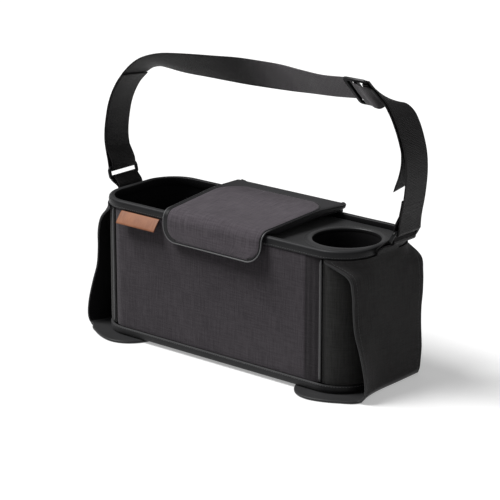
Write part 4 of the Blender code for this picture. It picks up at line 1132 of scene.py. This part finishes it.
def woven_web():
    """Ribbed webbing: chevrons of warp across its width, over weft ribs.

    Its lower side is painted pale on the right half of the arch: painted light for the light and sheen that
    this face, turned from the key lamp, shows.
    """
    web = Finish("webbing", 0.5, Sheen_Weight=0.02, Sheen_Roughness=0.4, Specular_IOR_Level=0.16)
    place = web.place("UV")
    u = web.axis(place, "X")
    v = web.axis(place, "Y")
    chevron = (u * 500).math("PINGPONG", 1.0)
    rib = (v * 3700 + chevron * 3.1).sin()
    warp = (u * 5000).sin()
    fuzz = web.noise(web.place(), 1800, 2)
    cloud = web.noise(web.place(), 35)
    height = rib * 0.5 + warp * 0.25 + fuzz * 0.3
    x = web.axis(web.place(), "X")
    z = web.axis(web.place(), "Z")
    # Painted light: where this mask is high the strap takes a pale tone on the arch's lower side.
    painted_light = x.between(-0.03, 0.07) * z.between(0.298, 0.306)
    painted_light = painted_light * (1 - x.between(0.150, 0.165)) * u.between(0.0385, 0.0400)
    tone = (height * 0.35 + cloud * 0.9).between(0.0, 1.0)
    black = web.blend(tone, (0.003, 0.0027, 0.003), (0.014, 0.0128, 0.0132))
    shine = (height * 0.7 + cloud * 0.5).between(-0.1, 0.8)
    painted_light_tone = web.blend(shine, (0.090, 0.085, 0.090), (0.480, 0.455, 0.475))
    web.show(Base_Color=web.blend(painted_light, black, painted_light_tone))
    web.bump(height, 0.00034)
    return web


webbing = woven_web()


def smooth_route(points, reach=1.5):
    """A centripetal Catmull-Rom curve through points of (x, y, z, roll)."""
    route = [Vector(p) for p in points]
    route = [route[0] * 2 - route[1]] + route + [route[-1] * 2 - route[-2]]
    made = []
    for p0, p1, p2, p3 in zip(route, route[1:], route[2:], route[3:]):
        gaps = [math.sqrt((q - p).xyz.length) for p, q in ((p0, p1), (p1, p2), (p2, p3))]
        made += curve(p0, p1, p2, p3, gaps, max(1, round(gaps[1] ** 2 / reach)))
    made.append(route[-2])
    return made


def flat(points, start):
    """Route points of (x, z, roll) as (x, y, z, roll)."""
    return [(start + x, 0.0, RIM_TOP + z, roll) for x, z, roll in points]


def arc(centre, radius, first, last, parts=18):
    """Route points round a bar."""
    turns = np.radians(np.linspace(first, last, parts + 1))
    return [(centre[0] + radius * math.cos(t), 0.0, centre[1] + radius * math.sin(t), 0.0) for t in turns]


def web_frame(route, i):
    """Normal and width directions of the webbing at one point."""
    run = (Vector(route[min(i + 1, len(route) - 1)][:3]) - Vector(route[max(i - 1, 0)][:3])).normalized()
    roll = math.radians(route[i][3])
    width = Vector((0, math.cos(roll), -math.sin(roll)))
    width = (width - run * width.dot(run)).normalized()
    return run.cross(width), width


def beside(route, distance):
    """The route moved out of its own face by a distance."""
    return [(*(Vector(p[:3]) + web_frame(route, i)[0] * distance), p[3]) for i, p in enumerate(route)]


def strap(name, route, thickness, slant=0.0):
    """The strap as a shell of 38 mm webbing with rounded selvedges."""
    half, thick = WEB_W / 2, thickness / 2
    bends = np.linspace(0, math.pi / 2, 6)
    upper = [(half - SELVEDGE + SELVEDGE * math.cos(t), thick * math.sin(t)) for t in bends]
    face = [(w, thick) for w in np.linspace(half - 1.4, -half + 1.4, 24)]
    profile = upper + face + [(-w, n) for w, n in upper[::-1]]
    profile += [(-w, -n) for w, n in upper[1:]] + [(w, -n) for w, n in face[::-1]]
    profile += [(w, -n) for w, n in upper[::-1][:-1]]
    rows = []
    for i, point in enumerate(route):
        normal, width = web_frame(route, i)
        run = width.cross(normal)
        centre = Vector(point[:3])
        pinch = 0.55 if i in (0, len(route) - 1) else 1.0
        slide = slant if i == len(route) - 1 else 0.0
        rows.append([(centre + width * w + normal * (n * pinch) + run * (w / half * slide)) * MM
                     for w, n in profile])
    return skin(name, rows, webbing, 60)


def ring_bar(word, end):
    """The middle of a ring's upper (1) or lower (-1) bar."""
    x, z, ring_lean = RINGS[word]
    t = math.radians(ring_lean)
    return x + end * RING_H / 2 * math.sin(t), z + end * RING_H / 2 * math.cos(t)


def steps_from(point, *steps):
    """Route points at steps (x, z) from a point, such as a bar's middle."""
    return [(point[0] + x, 0, point[1] + z, 0) for x, z in steps]


def on_slider(along, out):
    """A route point at a place along the slider and out of its plate."""
    t = math.radians(SLIDER_ROLL)
    return (SLIDER_X + along, out * math.sin(t), SLIDER_Z + out * math.cos(t), SLIDER_ROLL)


wrap = ROD_R + GAP + PLAY + WEB / 2
half_bar = SLIDER_BAR / 2
right_bar = ring_bar("right", 1)
fall_points = [on_slider(SLIDER_PITCH, CLEAR + 0.05), on_slider(SLIDER_PITCH + 3, CLEAR - 0.1)]
fall_points += flat(RIGHT_FALL, AT_RIGHT) + steps_from(right_bar, (wrap + 0.4, 8), (wrap, 1))
anchor_fall = smooth_route(fall_points)

left_bar = ring_bar("left", 1)
rise = smooth_route(steps_from(left_bar, (-wrap, 1), (-wrap - 1.4, 9)) + flat(LEFT_RISE, AT_LEFT))
joined = [p for p in beside(rise, -(WEB + GAP)) if p[2] > left_bar[1] + 20]
hem = smooth_route(steps_from(left_bar, (wrap, 1), (wrap - 1.2, 7)) + joined[:1])[:-1]
under = -CLEAR - WEB - 3 * GAP
threaded = (
    (-SLIDER_PITCH - 9, CLEAR * 0.7), (-SLIDER_PITCH, CLEAR + 0.1),
    (half_bar - 0.35 - SLIDER_PITCH, CLEAR + 0.25), (half_bar + 1.35 - SLIDER_PITCH, CLEAR - 0.5),
    (-SLIDER_PITCH / 2, 0), (-half_bar - 1.35, 0.5 - CLEAR), (0.35 - half_bar, -CLEAR - 0.25),
    (0, -CLEAR - 0.15), (3.5, -CLEAR - 0.6), (SLIDER_PITCH - half_bar - 2, under), (SLIDER_PITCH + 3, under),
)
tail = flat(TAIL_END, AT_RIGHT)
past_slider, above_tail = SLIDER_X + SLIDER_PITCH + 10, tail[0][2] + 10
kept = beside(anchor_fall, -2 * (WEB + GAP) - 0.1)
kept = [p for p in kept if p[0] > past_slider and p[2] > above_tail]
over = [tuple(rise[-1])] + flat(ARCH, MIDDLE) + [on_slider(*step) for step in threaded]
over = smooth_route(over + kept[::3] + tail)
main_route = (hem + joined)[::-1] + arc(left_bar, wrap, 0, -180)[1:-1] + rise[:-1] + over
main_strap = strap("webbing_main", main_route, WEB, slant=-4.0)
dress(main_strap, "webbing", "strap_main")

round_bar = (
    (3.4, 0.2 - CLEAR), (1.8, -CLEAR), (0, -CLEAR - 0.05), (0.45 - half_bar, -CLEAR - 0.25),
    (-half_bar - 1.05, 0.35 - CLEAR), (-half_bar - 1.35, -1), (-half_bar - 1.35, 1),
    (-half_bar - 1.05, CLEAR - 0.35), (0.45 - half_bar, CLEAR + 0.25),
)
wrapped = [on_slider(SLIDER_PITCH + along, out) for along, out in round_bar]
wrapped = smooth_route(wrapped + [tuple(anchor_fall[0])])[:-1]
fold = [p for p in beside(anchor_fall, -(WEB + GAP))
        if right_bar[1] + 18 < p[2] < right_bar[1] + 36 and p[0] > AT_RIGHT]
back = smooth_route(steps_from(right_bar, (-wrap, 1), (-wrap + 1.6, 8)) + [fold[-1]])[:-1]
anchor_route = wrapped + anchor_fall + arc(right_bar, wrap, 0, -180)[1:-1] + back + fold[::-1]
anchor = strap("webbing_anchor", anchor_route, WEB)
dress(anchor, "webbing", "strap_anchor")


TAB_SEWN = 9.2


def tab(word, side):
    """A folded loop sewn to the rim's outside and passing round the ring's lower bar."""
    rim_face = AT_LEFT - 0.8 if side < 0 else AT_RIGHT + 0.8
    bar = Vector(ring_bar(word, -1))
    first = rim_face + side * (GAP + TAB_WEB / 2)
    second = first + side * (TAB_WEB + GAP)
    low = RIM_TOP - TAB_SEWN
    turn_r = ROD_R + GAP + PLAY + TAB_WEB / 2
    reach = (bar - Vector((first, low + 6))).normalized()
    upper = Vector((-reach.y * side, reach.x * side))
    begin = math.degrees(math.atan2(upper.y, upper.x))
    loop = arc(bar, turn_r, begin, begin - side * 180)
    near = bar - reach * 11
    route = steps_from((first, low), (0, 0), (side * 0.2, 3), (side * 1.6, 6))
    route += [(near.x + upper.x * 1.6, 0, near.y + upper.y * 1.6, 0)]
    route = smooth_route(route + loop[:1])[:-1]
    last = [(near.x - upper.x * 1.6, 0, near.y - upper.y * 1.6, 0)]
    last += steps_from((second, low), (side * 1.7, 4.5), (side * 0.2, 2), (0, 0))
    route += loop + smooth_route(loop[-1:] + last)[1:]
    piece = strap(f"webbing_tab_{word}", route, TAB_WEB)
    dress(piece, "webbing", f"strap_tab_{word}")


def bar_stitches(name, route, heights):
    """Rows of stitches across a strap where its two layers are sewn together."""
    lines = []
    for height in heights:
        i = min(range(len(route)), key=lambda k: abs(route[k][2] - height))
        normal, width = web_frame(route, i)
        centre = Vector(route[i][:3]) + normal * (WEB / 2)
        lines.append([(centre + width * w) * MM for w in np.linspace(-17, 17, 12)])
    stitch(name, lines, "webbing", step=0.0026, length=0.0021, thickness=0.0006)


tab("left", -1)
tab("right", 1)
bar_stitches("left_hem_stitches", rise, (left_bar[1] + 24, left_bar[1] + 30))
bar_stitches("right_hem_stitches", anchor_fall, (right_bar[1] + 22, right_bar[1] + 28))
